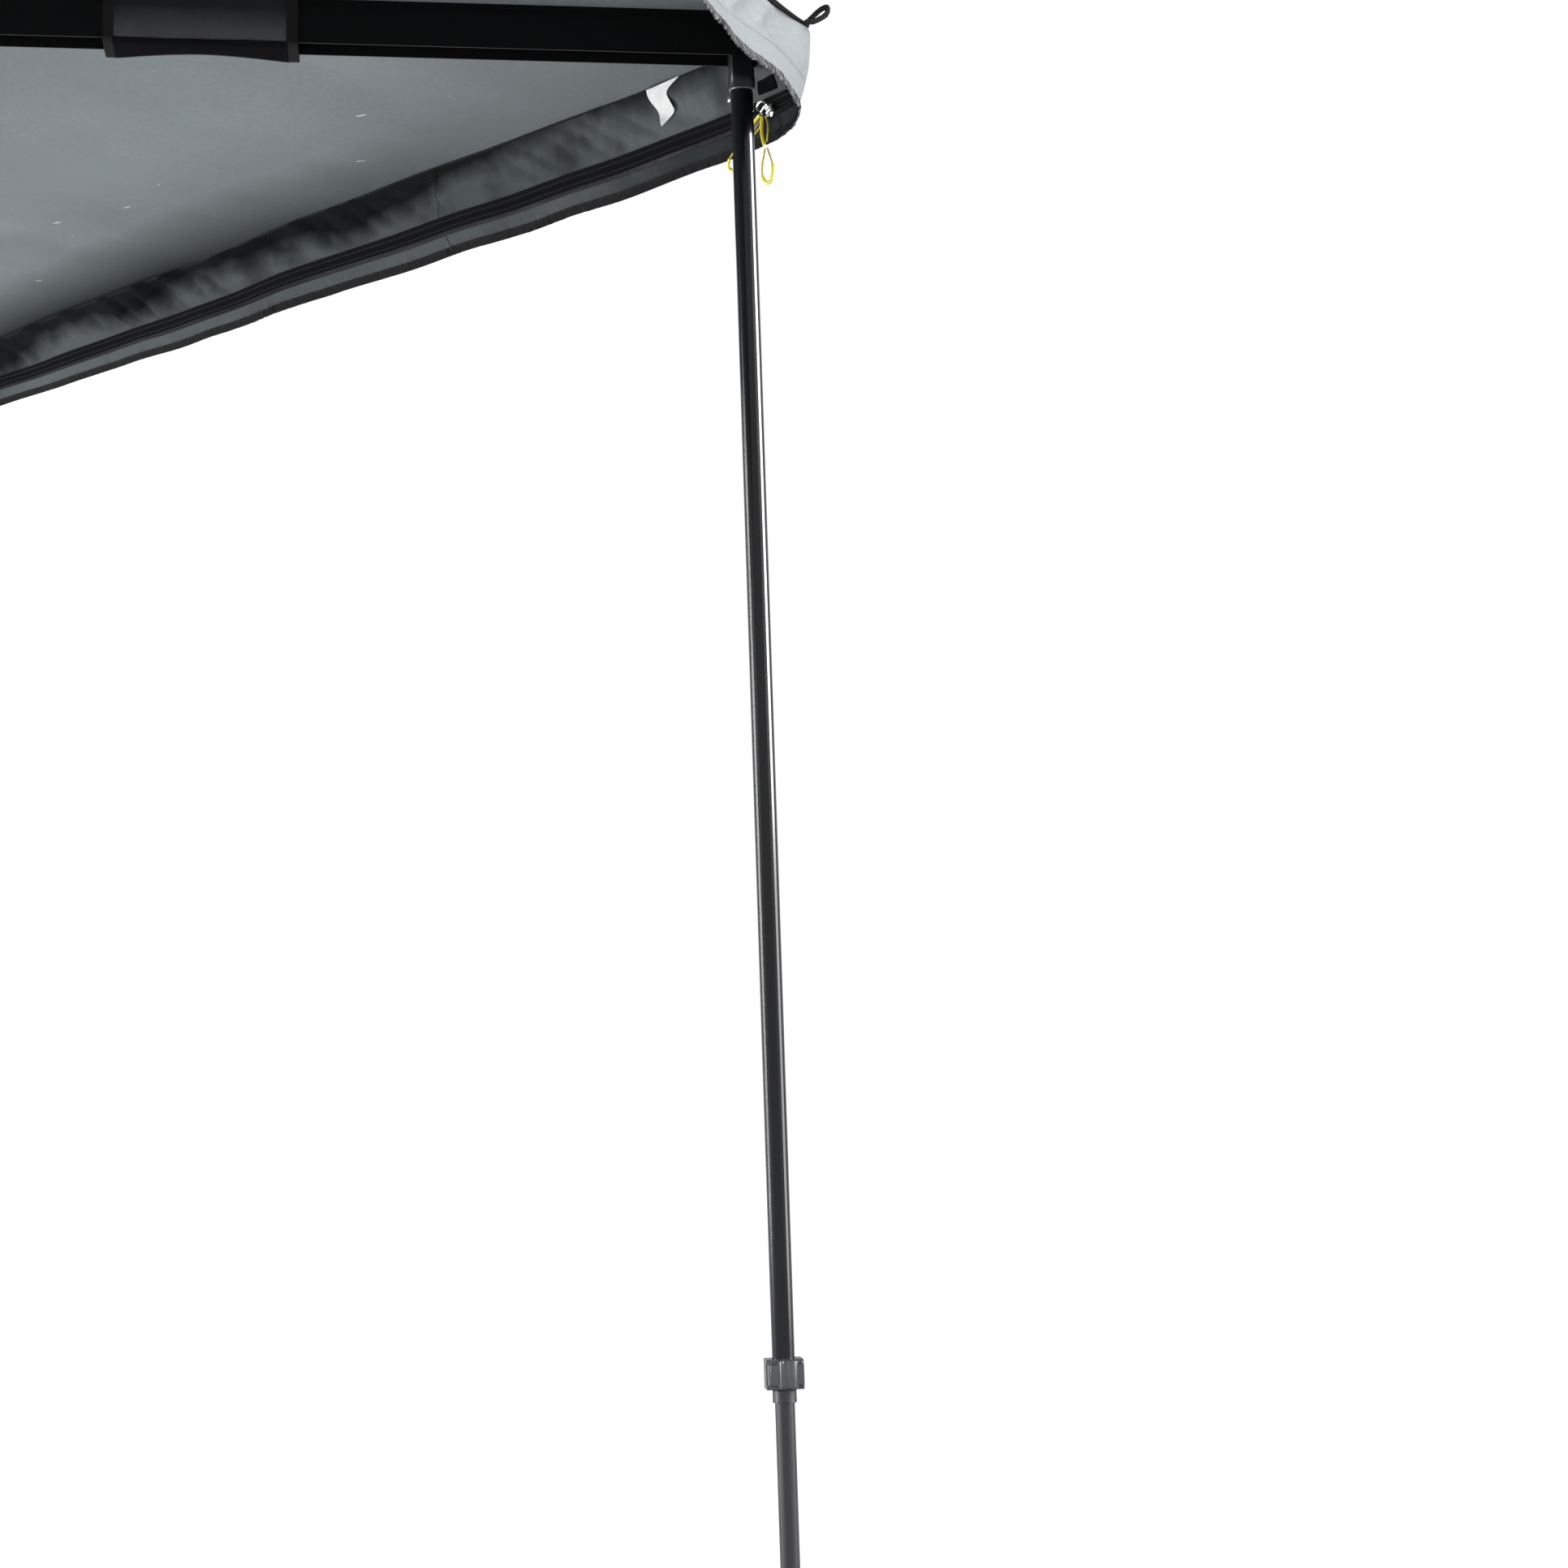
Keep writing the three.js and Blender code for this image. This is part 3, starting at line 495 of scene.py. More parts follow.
def cloth_look(name, colour, rough=0.82, thread=0.0006, scuffs=0.0, sheen=0.15, mottle=0.1, gloss=0.35,
               shadow=0.0, crease=0.0, crumple_shade=0.0, corner=(), bands=()):
    """Woven cloth, its UV in metres, with these changes of its colour:

    bands: (from, to, factor) down the cloth, painted light and shade
    corner: (from, to, factor above the zip's tape, factor below it) along the object's Y, painted light and
    shade
    shadow: how far the painted shadow beside the crease reaches, where the crease is at V = crease
    crumple: how dark the painted shade in the hollows above the tape is
    scuffs: how strong the pale marks are
    """
    look = Look(name, Sheen_Weight=sheen, Sheen_Roughness=0.5, Specular_IOR_Level=gloss)
    weave, grain = look.weave(thread), look.noise(900.0, 2.0)
    down, out = look.part(look.uv, 1), look.part(look.spot, 1)
    dark, pale = shade(colour, 1 - mottle), shade(colour, 1 + mottle)
    base = look.tint(dark, look.noise(5.0, 4.0), 0.3, 0.7, 0, 1, pale)
    for value, low, high, start, end, factor in (
            (look.noise(160.0, 3.0), 0.35, 0.75, 0, 0.35, 0.80),
            (weave, 0, 1, 0.22, 0, 0.55),
            (look.noise(620.0, 2.0), 0.35, 0.65, 0.34, 0, 0.60),
            (look.noise(130.0, 4.0, rough=0.7), 0.35, 0.65, 0.45, 0, 0.70)):
        base = look.tint(base, value, low, high, start, end, shade(colour, factor))
    # Painted light and shade: bands down the cloth made lighter or darker by a factor
    for start, end, factor in bands:
        band = look.tint((1, 1, 1), down, start, end, 0, 1, (factor,) * 3)
        base = look.mix(1.0, base, band, "MULTIPLY")
    # Painted light and shade towards the corner, by the object's Y: one factor above the zip's tape, another
    # below it
    if corner:
        start, end, above, below = corner
        tone = look.tint((above,) * 3, down, *TAPE, 0, 1, (below,) * 3)
        base = look.mix(1.0, base, look.tint((1, 1, 1), out, start, end, 0, 1, tone), "MULTIPLY")
    if crumple_shade:
        # Painted shade in hollows above the tape, placed by noise and not by the cloth's folds, weaker below
        # the tape
        painted_hollow_shade = look.ramp(look.noise(8.0, 3.0, stretch=(1, 1, 0.45), rough=0.6), 0.48, 0.64, 0, crumple_shade)
        painted_hollow_shade = look.math("MULTIPLY", painted_hollow_shade, look.ramp(down, *TAPE, 1, 0.4))
        base = look.mix(painted_hollow_shade, base, shade(colour, 0.30))
    if scuffs:
        streak = look.noise(260.0, 3.0, stretch=(1, 0.3, 1))
        base = look.tint(base, streak, 0.3, 0.7, 0.30, 0, shade(colour, 0.72))
        for kind in SCUFFS:
            base = look.mix(look.math("MULTIPLY", look.specks(*kind), scuffs), base, shade(colour, 2.6))
    if crease:
        # Painted shadow at the crease, and painted shade over the last 0.20 m beside it, both only where the
        # object's Y is low
        edge = look.math("ADD", look.math("SUBTRACT", crease, down), look.ramp(out, 0.9, 1.5, 0, 0.05))
        beside = look.ramp(down, crease - 0.20, crease, 0, 1)
        far = look.math("MULTIPLY", look.ramp(out, 1.0, 1.8, 1, 0), beside)
        base = look.mix(far, base, shade(colour, 0.10))
    elif shadow:
        # Painted shadow beneath the crease, with an uneven lower edge, wider where the object's Y is low
        edge = look.math("ADD", down, look.ramp(look.noise(2.2, 1.0), 0.42, 0.58, 0.010, -0.026))
        fine = look.noise(14.0, 3.0, stretch=(1, 1, 0.3))
        edge = look.math("ADD", edge, look.ramp(fine, 0.3, 0.7, -0.006, 0.006))
        edge = look.math("ADD", edge, look.ramp(out, 1.35, 1.75, -0.020, 0.030))
    if shadow:
        base = look.tint(base, edge, 0.004, shadow, 0.93, 0, shade(colour, 0.06))
    return look.finish(base, look.ramp(grain, 0.3, 0.7, rough - 0.08, rough + 0.06),
                       (look.noise(45.0, 3.0), 0.25, 0.0012), (grain, 0.25, 0.0003), (weave, 0.35, 0.00025))


def metal_look(name, colour, rough, metallic, grain=0.04, brushed=None, bump=0.08, gloss=0.5):
    """Metal, or paint on it; brushed is the stretch of its streaks."""
    look = Look(name, Metallic=metallic, Specular_IOR_Level=gloss)
    fine, broad = look.noise(1400.0, 2.0), look.noise(14.0, 4.0)
    streak = look.noise(120.0 if brushed else 300.0, 3.0, stretch=brushed)
    base = look.tint(shade(colour, 1 - grain * 2), broad, 0.3, 0.7, 0, 1, shade(colour, 1 + grain * 2))
    return look.finish(base, look.ramp(streak, 0.25, 0.75, rough - grain, rough + grain),
                       (broad, 0.05, 0.001), (fine, bump, 0.0002))


def plastic_look(name, colour, rough=0.5, grain=0.25, gloss=0.5):
    look = Look(name, Specular_IOR_Level=gloss)
    fine = look.noise(1100.0, 3.0)
    base = look.tint(shade(colour, 0.85), look.noise(30.0, 3.0), 0.3, 0.7, 0, 1, shade(colour, 1.15))
    return look.finish(base, look.ramp(fine, 0.3, 0.7, rough - 0.06, rough + 0.06), (fine, grain, 0.0003))


def cord_look(name, colour, fleck, share, gloss=0.4):
    """A braided cord: strands crossing both ways, paler where both crest: flecks of another colour, and
    painted highlights.
    """
    look = Look(name, Roughness=0.75, Specular_IOR_Level=gloss)
    run = look.math("MULTIPLY", look.part(look.uv, 0), 1400.0)
    turn = look.math("MULTIPLY", look.part(look.uv, 1), 25.13)
    strands = [look.math("SINE", look.math(way, run, turn)) for way in ("ADD", "SUBTRACT")]
    # Where both strands crest, the cord takes the paler colour: flecks, and painted highlights on the
    # strands.
    fleck_and_highlight = look.math("MULTIPLY", *[look.ramp(strand, 0.1, 0.4, 0, 1) for strand in strands])
    base = look.tint(colour, fleck_and_highlight, 0, 1, 0, share, fleck)
    return look.finish(base, None, (look.math("MULTIPLY", *strands), 0.8, 0.0006))


def ruffle_look():
    """The hem binding's outside: charcoal, with painted pale highlights on its ruffles' crests."""
    look = Look("ruffled_binding", Roughness=0.8, Specular_IOR_Level=0.1)
    crest = look.noise(230.0, 3.0, look.uv, (1, 0.22, 1), 0.7)
    highlight_reach = look.ramp(look.noise(40.0, 2.0, look.uv), 0.3, 0.7, 0.35, 1.0)
    # The pale grey on the crests is a painted highlight, stronger where the broad noise is high.
    share = look.math("MULTIPLY", look.ramp(crest, 0.42, 0.62, 0, 1), highlight_reach)
    return look.finish(look.mix(share, (0.030, 0.029, 0.032), (0.44, 0.44, 0.45)), None, (crest, 0.8, 0.0009))


CANVAS = (0.226, 0.249, 0.257)
ALONG_TUBE = (1, 1, 0.02)
LOOKS = {
    # The canvas underside: painted shade in a band along the crease, and a painted shadow and more painted
    # shade at the crease where the object's Y is low
    "under": cloth_look("canvas_underside", shade(CANVAS, 1.18), scuffs=0.8, sheen=0.0, rough=0.62, gloss=0.0,
                        shadow=0.014, crease=RUN, bands=((RUN - 0.36, RUN, 0.70),)),
    # The valance's inside: the underside's cloth painted darker, painted shade; with a painted shadow under
    # the crease, painted shade in hollows, the cloth below the tape painted a little lighter, and near the
    # corner painted light above the tape and painted shade below it
    "inside": cloth_look("valance_inside", shade(CANVAS, 0.42), sheen=0.0, rough=0.5, gloss=0.0,
                         shadow=0.036, crumple_shade=0.6, corner=(1.86, 2.06, 1.5, 0.42),
                         bands=((TAPE[0] + 0.006, TAPE[1], 1.15),)),
    "outer": cloth_look("canvas_outer", (0.56, 0.60, 0.615), mottle=0.06, sheen=0.0, gloss=0.2),
    "patch": cloth_look("patch_cloth", (0.085, 0.090, 0.094), sheen=0.0, gloss=0.15),
    "black_tape": cloth_look("black_tape", (0.006, 0.006, 0.0075), thread=0.0009, sheen=0.0, gloss=0.02),
    # The welts' cloth, lighter than the tape: painted highlights along the welts
    "welt": cloth_look("tape_welt_highlight", (0.055, 0.058, 0.062), thread=0.0009, sheen=0.0, gloss=0.02),
    "binding": cloth_look("black_binding", (0.019, 0.0185, 0.020), thread=0.0011, rough=0.75, sheen=0.0,
                          gloss=0.02),
    "ruffle": ruffle_look(),
    "webbing": cloth_look("black_webbing", (0.005, 0.005, 0.006), thread=0.0016, rough=0.8, sheen=0.0,
                          gloss=0.01),
    # The keeper's cloth: painted light, up to six times lighter from low on its near side on round the
    # underside
    "keeper": cloth_look("keeper_cloth", (0.017, 0.0172, 0.019), thread=0.0012, rough=0.75, sheen=0.0,
                         gloss=0.1, bands=((0.012, 0.048, 6.0),)),
    "cover": cloth_look("cover_cloth", (0.016, 0.017, 0.019), rough=0.5, thread=0.0014, sheen=0.0),
    "label": cloth_look("blank_label", (0.98, 0.98, 0.975), thread=0.0005, rough=0.5, sheen=0.3, mottle=0.01),
    "thread": plastic_look("stitch_thread", (0.03, 0.031, 0.034), 0.6, gloss=0.2),
    "zip": plastic_look("zip_teeth", (0.007, 0.007, 0.008), 0.32, gloss=0.35),
    # A pale grey ring under the leg knuckle: a painted highlight along its lower edge
    "ring": metal_look("knuckle_ring", (0.16, 0.17, 0.175), 0.35, 0.0, gloss=0.4),
    "dark_steel": metal_look("black_steel", (0.012, 0.012, 0.013), 0.4, 0.0, gloss=0.3),
    "arm": metal_look("arm_coat", (0.0025, 0.0028, 0.0032), 0.45, 0.0, bump=0.12, gloss=0.08),
    "tube": metal_look("leg_anodised", (0.0045, 0.0048, 0.0060), 0.15, 0.0, grain=0.02, brushed=ALONG_TUBE,
                       bump=0.0, gloss=0.25),
    "lower_tube": metal_look("leg_lower_coat", (0.030, 0.030, 0.034), 0.38, 0.0, brushed=ALONG_TUBE,
                             bump=0.03, gloss=0.2),
    "steel": metal_look("zinc_steel", (0.60, 0.61, 0.62), 0.32, 1.0, bump=0.05),
    "bright": metal_look("nickel", (0.78, 0.77, 0.75), 0.16, 1.0, bump=0.02),
    "cast": metal_look("cast_hinge", (0.05, 0.052, 0.056), 0.5, 0.3, bump=0.4),
    "plastic": plastic_look("moulded_nylon", (0.004, 0.0048, 0.0055), 0.38, gloss=0.16),
    "collar": plastic_look("collar_nylon", (0.030, 0.030, 0.033), 0.42, gloss=0.25),
    "clamp": plastic_look("clamp_nylon", (0.058, 0.060, 0.066), 0.40, gloss=0.35),
    "rubber": plastic_look("foot_rubber", (0.012, 0.012, 0.012), 0.85, 0.5),
    "sleeve": plastic_look("pull_sleeve", (0.98, 0.78, 0.02), 0.40),
    "rope": cord_look("guy_cord", (0.008, 0.008, 0.009), (0.60, 0.59, 0.58), 0.12, gloss=0.05),
    "yellow": cord_look("pull_cord", (0.97, 0.74, 0.01), (0.98, 0.88, 0.20), 0.5),
}


# Camera: the photograph's own view, in the frame's metres, with its turns in degrees
CAMERA_PLACE = (1.8505, 3.8887, -1.1246)
CAMERA_HEADING, CAMERA_PITCH, CAMERA_ROLL = 204.083, 4.664, -0.114
FOCAL_PX, PHOTO_PX, SENSOR_MM = 4347.36, 1932, 36


def make_camera():
    """Puts the camera where the photograph was taken."""
    heading, pitch, roll = map(math.radians, (CAMERA_HEADING, CAMERA_PITCH, CAMERA_ROLL))
    level = Vector((math.cos(heading), math.sin(heading), 0))
    ahead = level * math.cos(pitch) + Vector((0, 0, math.sin(pitch)))
    right = Vector((level.y, -level.x, 0))
    up = right.cross(ahead)
    right, up = right * math.cos(roll) + up * math.sin(roll), up * math.cos(roll) - right * math.sin(roll)
    data = bpy.data.cameras.new("camera")
    data.sensor_width = SENSOR_MM
    data.lens = FOCAL_PX * SENSOR_MM / PHOTO_PX
    data.clip_end = 100
    camera = bpy.data.objects.new("camera", data)
    turn = Matrix((right, up, -ahead)).transposed().to_4x4()
    camera.matrix_world = Matrix.Translation(Vector(CAMERA_PLACE)) @ turn
    bpy.context.scene.collection.objects.link(camera)
    bpy.context.scene.camera = camera


make_camera()


# The panels' halves
class Half:
    """Half a canopy panel, next to one arm: side 1 on the arm's left, -1 on its right."""

    def __init__(self, arm, side):
        other = arm + side
        self.arm, self.side = arm, side
        self.panel = max(arm, other)
        self.seed = 100 * self.panel
        self.start, self.corner = on_arm(arm, START), on_arm(arm, CORNER)
        self.start_mid = (self.start + on_arm(other, START)) / 2
        self.edge_mid = (self.corner + on_arm(other, CORNER)) / 2
        self.axis = unit(self.edge_mid - self.start_mid)
        edge = np.append(self.edge_mid - self.corner, 0)
        self.length = float(np.linalg.norm(edge))
        self.edge = edge / self.length
        self.out = np.array([self.edge[1], -self.edge[0], 0]) * side
        self.left = arm_axes(arm)[1][:2] * side
        self.name = f"{arm}_{'outer' if side > 0 else 'inner'}"

    def from_middle(self, along):
        """Place along the whole panel's edge, from its middle, the same for both halves."""
        return (along - self.length) * self.side

    def fold(self, obj):
        """Moves with its arm's body, on a mesh of its own."""
        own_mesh(obj)
        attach(obj, body_of_arm(self.arm))

    def area(self):
        one, two = self.edge_mid - self.start, self.start_mid - self.corner
        return abs(one[0] * two[1] - one[1] * two[0]) / 2


HALVES = {(arm, side): Half(arm, side)
          for arm in range(ARMS) for side in (-1, 1) if 0 <= arm + side < ARMS}


def valance_reach(half, along):
    """How far the hem stands out from the crease."""
    flare = 1 - np.exp(-along / FLARE_RAMP)
    fade = FADE_SHARE * smooth(along, FADE_FROM, FADE_TO)
    if half.side > 0:
        ramp = np.clip((along - FOLD_FREE) / FOLD_FREE, 0, 1)
        wave = (1 - np.cos((along - FOLD_FREE) * 2 * math.pi / FOLD_LENGTH)) / 2
    else:
        ramp = smooth(along, 0.08, 0.22)
        wave = 1.25 * np.sin((along - 0.325) * 2 * math.pi / 0.38) * (1 - smooth(along, 0.45, 0.70))
    return FLARE * flare * (1 - fade) + FOLD * ramp * wave * (1 - smooth(along, 0.70, 1.0))


def crease_rise(half, along):
    """How far the crease strays from its level, the same for the canopy and the valance."""
    q = half.from_middle(along)
    return CREASE_SWAY * waves(q, 0, 0.52, half.seed + 30) * smooth(along, 0.05, 0.45)


def valance_wrinkle(half, along, down):
    """How far the cloth stands off its smooth shape: crumples above the tape, gathers at the hem."""
    q, seed = half.from_middle(along), half.seed
    free = smooth(along, 0.0, 0.05)
    above = np.sin(math.pi * np.clip(down / (TAPE[0] - 0.003), 0, 1)) ** 0.7
    tall = waves(q + 1.3 * down, down * 0.5, 0.15, seed + 1) * 0.0080
    tall = tall + ridges(q + 1.2 * down, down * 0.5, 0.13, seed + 9) * 0.0048
    tall = tall + ridges(q - 0.7 * down, down, 0.045, seed + 2) * 0.0014
    below = smooth(down, TAPE[1] - 0.004, SLANT)
    low = waves(q, down, 0.10, seed + 3) * 0.0026 + ridges(q + down, down, 0.05, seed + 4) * 0.0008
    gather = np.sin(2 * math.pi * q / 0.014 + 2.4 * waves(q, 0, 0.10, seed + 5)) * 0.0012
    gather = gather * (0.5 + 0.5 * waves(q, 0, 0.15, seed + 6))
    gather = gather + ridges(q, down * 0.2, 0.011, seed + 10) * 0.0006
    gather = gather * smooth(down, SLANT - 0.022, SLANT)
    stiff = waves(q, 0, 0.28, seed + 7) * 0.0022 * smooth(down, 0.0, TAPE[0])
    return free * (above * tall + below * low + stiff) + gather


def hem_length(half, along):
    """The cloth's length down to the hem, which is cut a little unevenly."""
    uneven = 0.0014 * waves(half.from_middle(along), 0, 0.23, half.seed + 8) * smooth(along, 0.02, 0.15)
    if half.side > 0:
        return SLANT + uneven + HEM_SWELL * np.exp(-((along - 0.6) / 0.3) ** 2)
    taper = smooth(half.length - along, 0.0, half.length - 0.3) * smooth(along, 0, 0.2)
    return SLANT + uneven - HEM_TAPER * taper


def valance(half, along, down, out=0.0):
    """A point of the valance: so far along from the corner, down from the crease and off its face."""
    along, down, out = np.broadcast_arrays(np.asarray(along, float), down, out)
    down = down * np.where(down > 0, hem_length(half, along) / SLANT, 1)
    lean = np.arcsin(np.clip(valance_reach(half, along) / SLANT, -1, 1))[..., None]
    normal = np.cos(lean) * half.out + np.sin(lean) * UP
    fall = np.sin(lean) * half.out - np.cos(lean) * UP
    base = np.append(half.corner, CREASE_Z) + along[..., None] * half.edge
    base[..., 2] += crease_rise(half, along) * (1 - 0.75 * np.clip(down / SLANT, 0, 1))
    off = valance_wrinkle(half, along, down) + out
    gather = CORNER_PULL * np.exp(-along / CORNER_REACH) * np.clip(down / SLANT, 0, 1.1) ** 2.2
    bulge = smooth(down, -0.004, 0.012) * (1 - smooth(down, 0.045, 0.100))
    gather = gather - CORNER_BULGE * np.exp(-along / 0.06) * bulge
    inward = -arm_axes(half.arm)[0]
    return base + fall * down[..., None] + normal * off[..., None] + inward * gather[..., None]


def canopy_top(half, down, span, plan):
    """The height of the canopy's top face, span from 0 beside the arm to 1 at mid-panel."""
    slant = (ARM_HALF + 0.0015) / math.tan(math.pi / 3)
    late = (ARM_REACH + 0.005 + slant - START) / RUN
    first = late * (1 - span) ** 2
    run = np.clip((down - first) / (1 - first), 0, None)
    drop = EDGE_DROP * run * run + BELLY * np.sin(math.pi * down) * np.sin(math.pi * span / 2)
    seed = half.seed
    x, y = plan[..., 0], plan[..., 1]
    pull = x * half.axis[0] + y * half.axis[1]
    across = x * half.axis[1] - y * half.axis[0]
    folds = waves(x, y, 0.6, seed + 20) * 0.0050
    folds = folds + waves(pull, across * 0.22, 0.30, seed + 23) * 0.0100 * smooth(down, 0.6, 0.96)
    folds = folds + waves(pull * 0.5, across, 0.20, seed + 21) * 0.0050 * smooth(down, 0.5, 0.98)
    crisp = ridges(pull * 0.6 + across * 0.5, across - pull * 0.3, 0.16, seed + 22)
    folds = folds + crisp * 0.0022 * smooth(down, 0.7, 1.0)
    folds = folds * smooth(span, 0, 0.12) * (1 - down ** 10) * smooth(down, 0, 0.1)
    edge = (x - half.corner[0]) * half.edge[0] + (y - half.corner[1]) * half.edge[1]
    swell = 0.0075 * np.exp(-(((1 - down) * RUN - 0.13) / 0.075) ** 2) * smooth(edge, 0.25, 0.75)
    swell = swell * (0.7 + 0.5 * waves(half.from_middle(edge), 0, 0.5, seed + 31))
    sway = crease_rise(half, edge) * np.clip(down, 0, 1) ** 12
    return TOP - drop + folds + swell + sway


def canopy_grid(half, rows=130, cols=64):
    down = np.linspace(0, 1, rows)[:, None]
    arm_side = half.start + (half.corner - half.start) * down
    mid_side = half.start_mid + (half.edge_mid - half.start_mid) * down
    width = np.linalg.norm(mid_side - arm_side, axis=1, keepdims=True)
    rest = (ARM_HALF + REST) / math.cos(math.pi / 6) / width
    span = np.concatenate([np.zeros(3), np.linspace(0, 1, cols - 2)[1:]])[None]
    lead = np.concatenate([[0, 0.5, 1], np.ones(cols - 3)])[None]
    share = rest * lead + (1 - rest) * span
    plan = arm_side[:, None] + (mid_side - arm_side)[:, None] * share[..., None]
    z = canopy_top(half, np.broadcast_to(down, share.shape), np.broadcast_to(span, share.shape), plan)
    return np.concatenate([plan, z[..., None]], axis=-1), stacked(share * width, down * RUN)


# Cords: guy loops, whose route is in parts of their width, reach and rise
GUY_ROUTE = [(0.5, -0.2, -0.1), (0.4, 0.2, 0.35), (0.2, 0.65, 0.85), (0, 1, 1),
             (-0.2, 0.95, 0.5), (-0.4, 0.55, 0.1), (-0.5, 0.2, -0.1), (-0.5, -0.2, -0.15)]
GUY_WIDTH, GUY_REACH, GUY_RISE, GUY_INSET, GUY_RADIUS = 0.016, 0.022, 0.018, 0.012, 0.003


def tube_uv(rings):
    """UV for rings round a path: metres along it, and turns round it."""
    turn = np.arange(rings.shape[1]) / rings.shape[1]
    return stacked(run_along(rings.mean(axis=1))[:, None], turn[None])


def tube(name, path, radius, look, body, slot="zip_metal", sides=12, sharp=35, **twist):
    rings = tube_rings(path, radius, sides, **twist)
    return piece(name, loft(rings), [look], slot, body, uv=tube_uv(rings), sharp=sharp)


def guy_loop(arm):
    outward, left = arm_axes(arm)
    base = np.append(on_arm(arm, CORNER, -GUY_INSET), CREASE_Z)
    axes = np.array([left * GUY_WIDTH, outward * GUY_REACH, UP * GUY_RISE])
    path = spline(base + np.array(GUY_ROUTE) @ axes, 8)
    obj = tube(f"guy_loop_{arm}", path, GUY_RADIUS, "rope", body_of_arm(arm), "strap_webbing", **BRAID)


BRAID = {"lobes": 4, "depth": 0.07, "turns": 140, "sharp": 60}
for number in range(1, ARMS):
    guy_loop(number)


# Cords: the zip pulls' loops
def slider_frame(panel):
    """Where a panel's zip slider is parked: its half, its origin, and axes along the edge, inwards and up."""
    half = HALVES[SLIDERS[panel]]
    low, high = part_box(f"zip_slider_{panel}")
    face = valance(half, SLIDER_ALONG, SLIDER_DOWN, -CLOTH - 0.004)
    place = np.array([(low.x + high.x) / 2, (low.y + high.y) / 2, high.z - 0.0065])
    place = place - half.out * float((face - place) @ -half.out) - half.edge * 0.003
    return half, place, half.edge, -half.out, UP


# Routes on a pull, as (across it, up it) from where it hangs
PULL_LOOP = [(-0.0016, -0.047), (-0.0040, -0.055), (-0.0072, -0.066), (-0.0078, -0.077), (-0.0048, -0.0860),
             (0.0, -0.0885), (0.0048, -0.0860), (0.0078, -0.077), (0.0072, -0.066), (0.0040, -0.055),
             (0.0016, -0.047)]
PULL_NECK = [(0.0020, -0.009), (0.0034, -0.020), (0.0034, -0.032), (0.0010, -0.0435)]
PULL_STRAND = [(-0.0030, -0.009), (-0.0052, -0.018), (-0.0050, -0.028), (-0.0024, -0.0395)]

# Each pull's lean along the edge, and its turn about its own length
PULLS = {1: (0.88, 0.45), 2: (-0.10, 0.25)}


def pull_axes(panel, number):
    """Where a pull hangs from, and its own axes: across it, up it and off the valance."""
    _, place, along, inward, up = slider_frame(panel)
    lean, turn = PULLS[number]
    lengthwise = up * math.cos(lean) - along * math.sin(lean)
    across = along * math.cos(lean) + up * math.sin(lean)
    flat = across * math.cos(turn) + inward * math.sin(turn)
    off = np.cross(flat, lengthwise)
    return place + inward * (0.0030 + 0.0025 * number), flat, lengthwise, off * np.sign(off @ inward)


def pull_loop(panel, number):
    origin, flat, lengthwise, off = pull_axes(panel, number)
    body, ending = f"zip_slider_{panel}", f"{panel}_{number}"

    def on_pull(route, lift):
        return np.array([origin + flat * x + lengthwise * z + off * lift for x, z in spline(route, 6)])

    def pull_cord(kind, path, radius, **pieces):
        obj = tube(f"pull_{kind}_{ending}", path, radius, "yellow", body, sides=8, **BRAID)

    loop = on_pull(PULL_LOOP, 0)
    low = loop[int(len(loop) * 0.22):int(len(loop) * 0.68) + 1]
    sleeve = tube(f"pull_sleeve_{ending}", low, 0.0021, "sleeve", body)
    pull_cord("cord", loop, 0.00105, with_pieces=[sleeve])
    tube(f"pull_neck_{ending}", on_pull(PULL_NECK, 0.0016), 0.0021, "sleeve", body)
    pull_cord("strand", on_pull(PULL_STRAND, 0.0014), 0.0009, with_pieces=[])


for panel_number in SLIDERS:
    for pull_number in PULLS:
        pull_loop(panel_number, pull_number)


# CAD nodes that stay, by the start of their names
NODE_LOOKS = {
    "arm": ("arm_channel", "backing_rail", "rack_bracket", "hub_yoke"),
    "plastic": ("arm_end_cap", "thrust_washer", "leg_knuckle"),
    "steel": ("bracket_stud_plate", "kingpin", "hinge_bolt"),
    "cast": ("hinge_block",), "dark_steel": ("leg_pivot_bolt",), "tube": ("leg_upper_tube",),
    "lower_tube": ("leg_lower_tube",), "clamp": ("leg_clamp", "clamp_lever"), "rubber": ("leg_foot",),
}
for look_name, prefixes in NODE_LOOKS.items():
    for name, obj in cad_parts.items():
        if name.startswith(prefixes):
            obj.data.materials.clear()
            obj.data.materials.append(LOOKS[look_name])


# Canopy and valance
def make_canopy(half):
    grid, uv = canopy_grid(half)
    obj = sheet(f"canopy_cloth_{half.name}", grid, CLOTH, ["outer", "under"], UP, uv)
    dress(obj, half, f"canopy_{half.name}")
    min(half.area(), half.length * RUN)


def make_valance(half, cols=380, rows=30):
    along = np.linspace(0.0004, half.length, cols)[None]
    down = (SLANT * np.linspace(0, 1, rows))[:, None]
    grid = valance(half, along, down)
    obj = sheet(f"valance_cloth_{half.name}", grid, CLOTH, ["outer", "inside"], half.out + 0.2 * UP,
                stacked(along, down))
    dress(obj, half)


def finer(ring, most=0.0035):
    """The same closed outline, with no step down the cloth longer than that."""
    made = []
    for (d, o), (next_d, next_o) in zip(ring, ring[1:] + ring[:1]):
        count = max(1, math.ceil(abs(next_d - d) / most))
        for i in range(count):
            made.append((d + (next_d - d) * i / count, o + (next_o - o) * i / count))
    return made


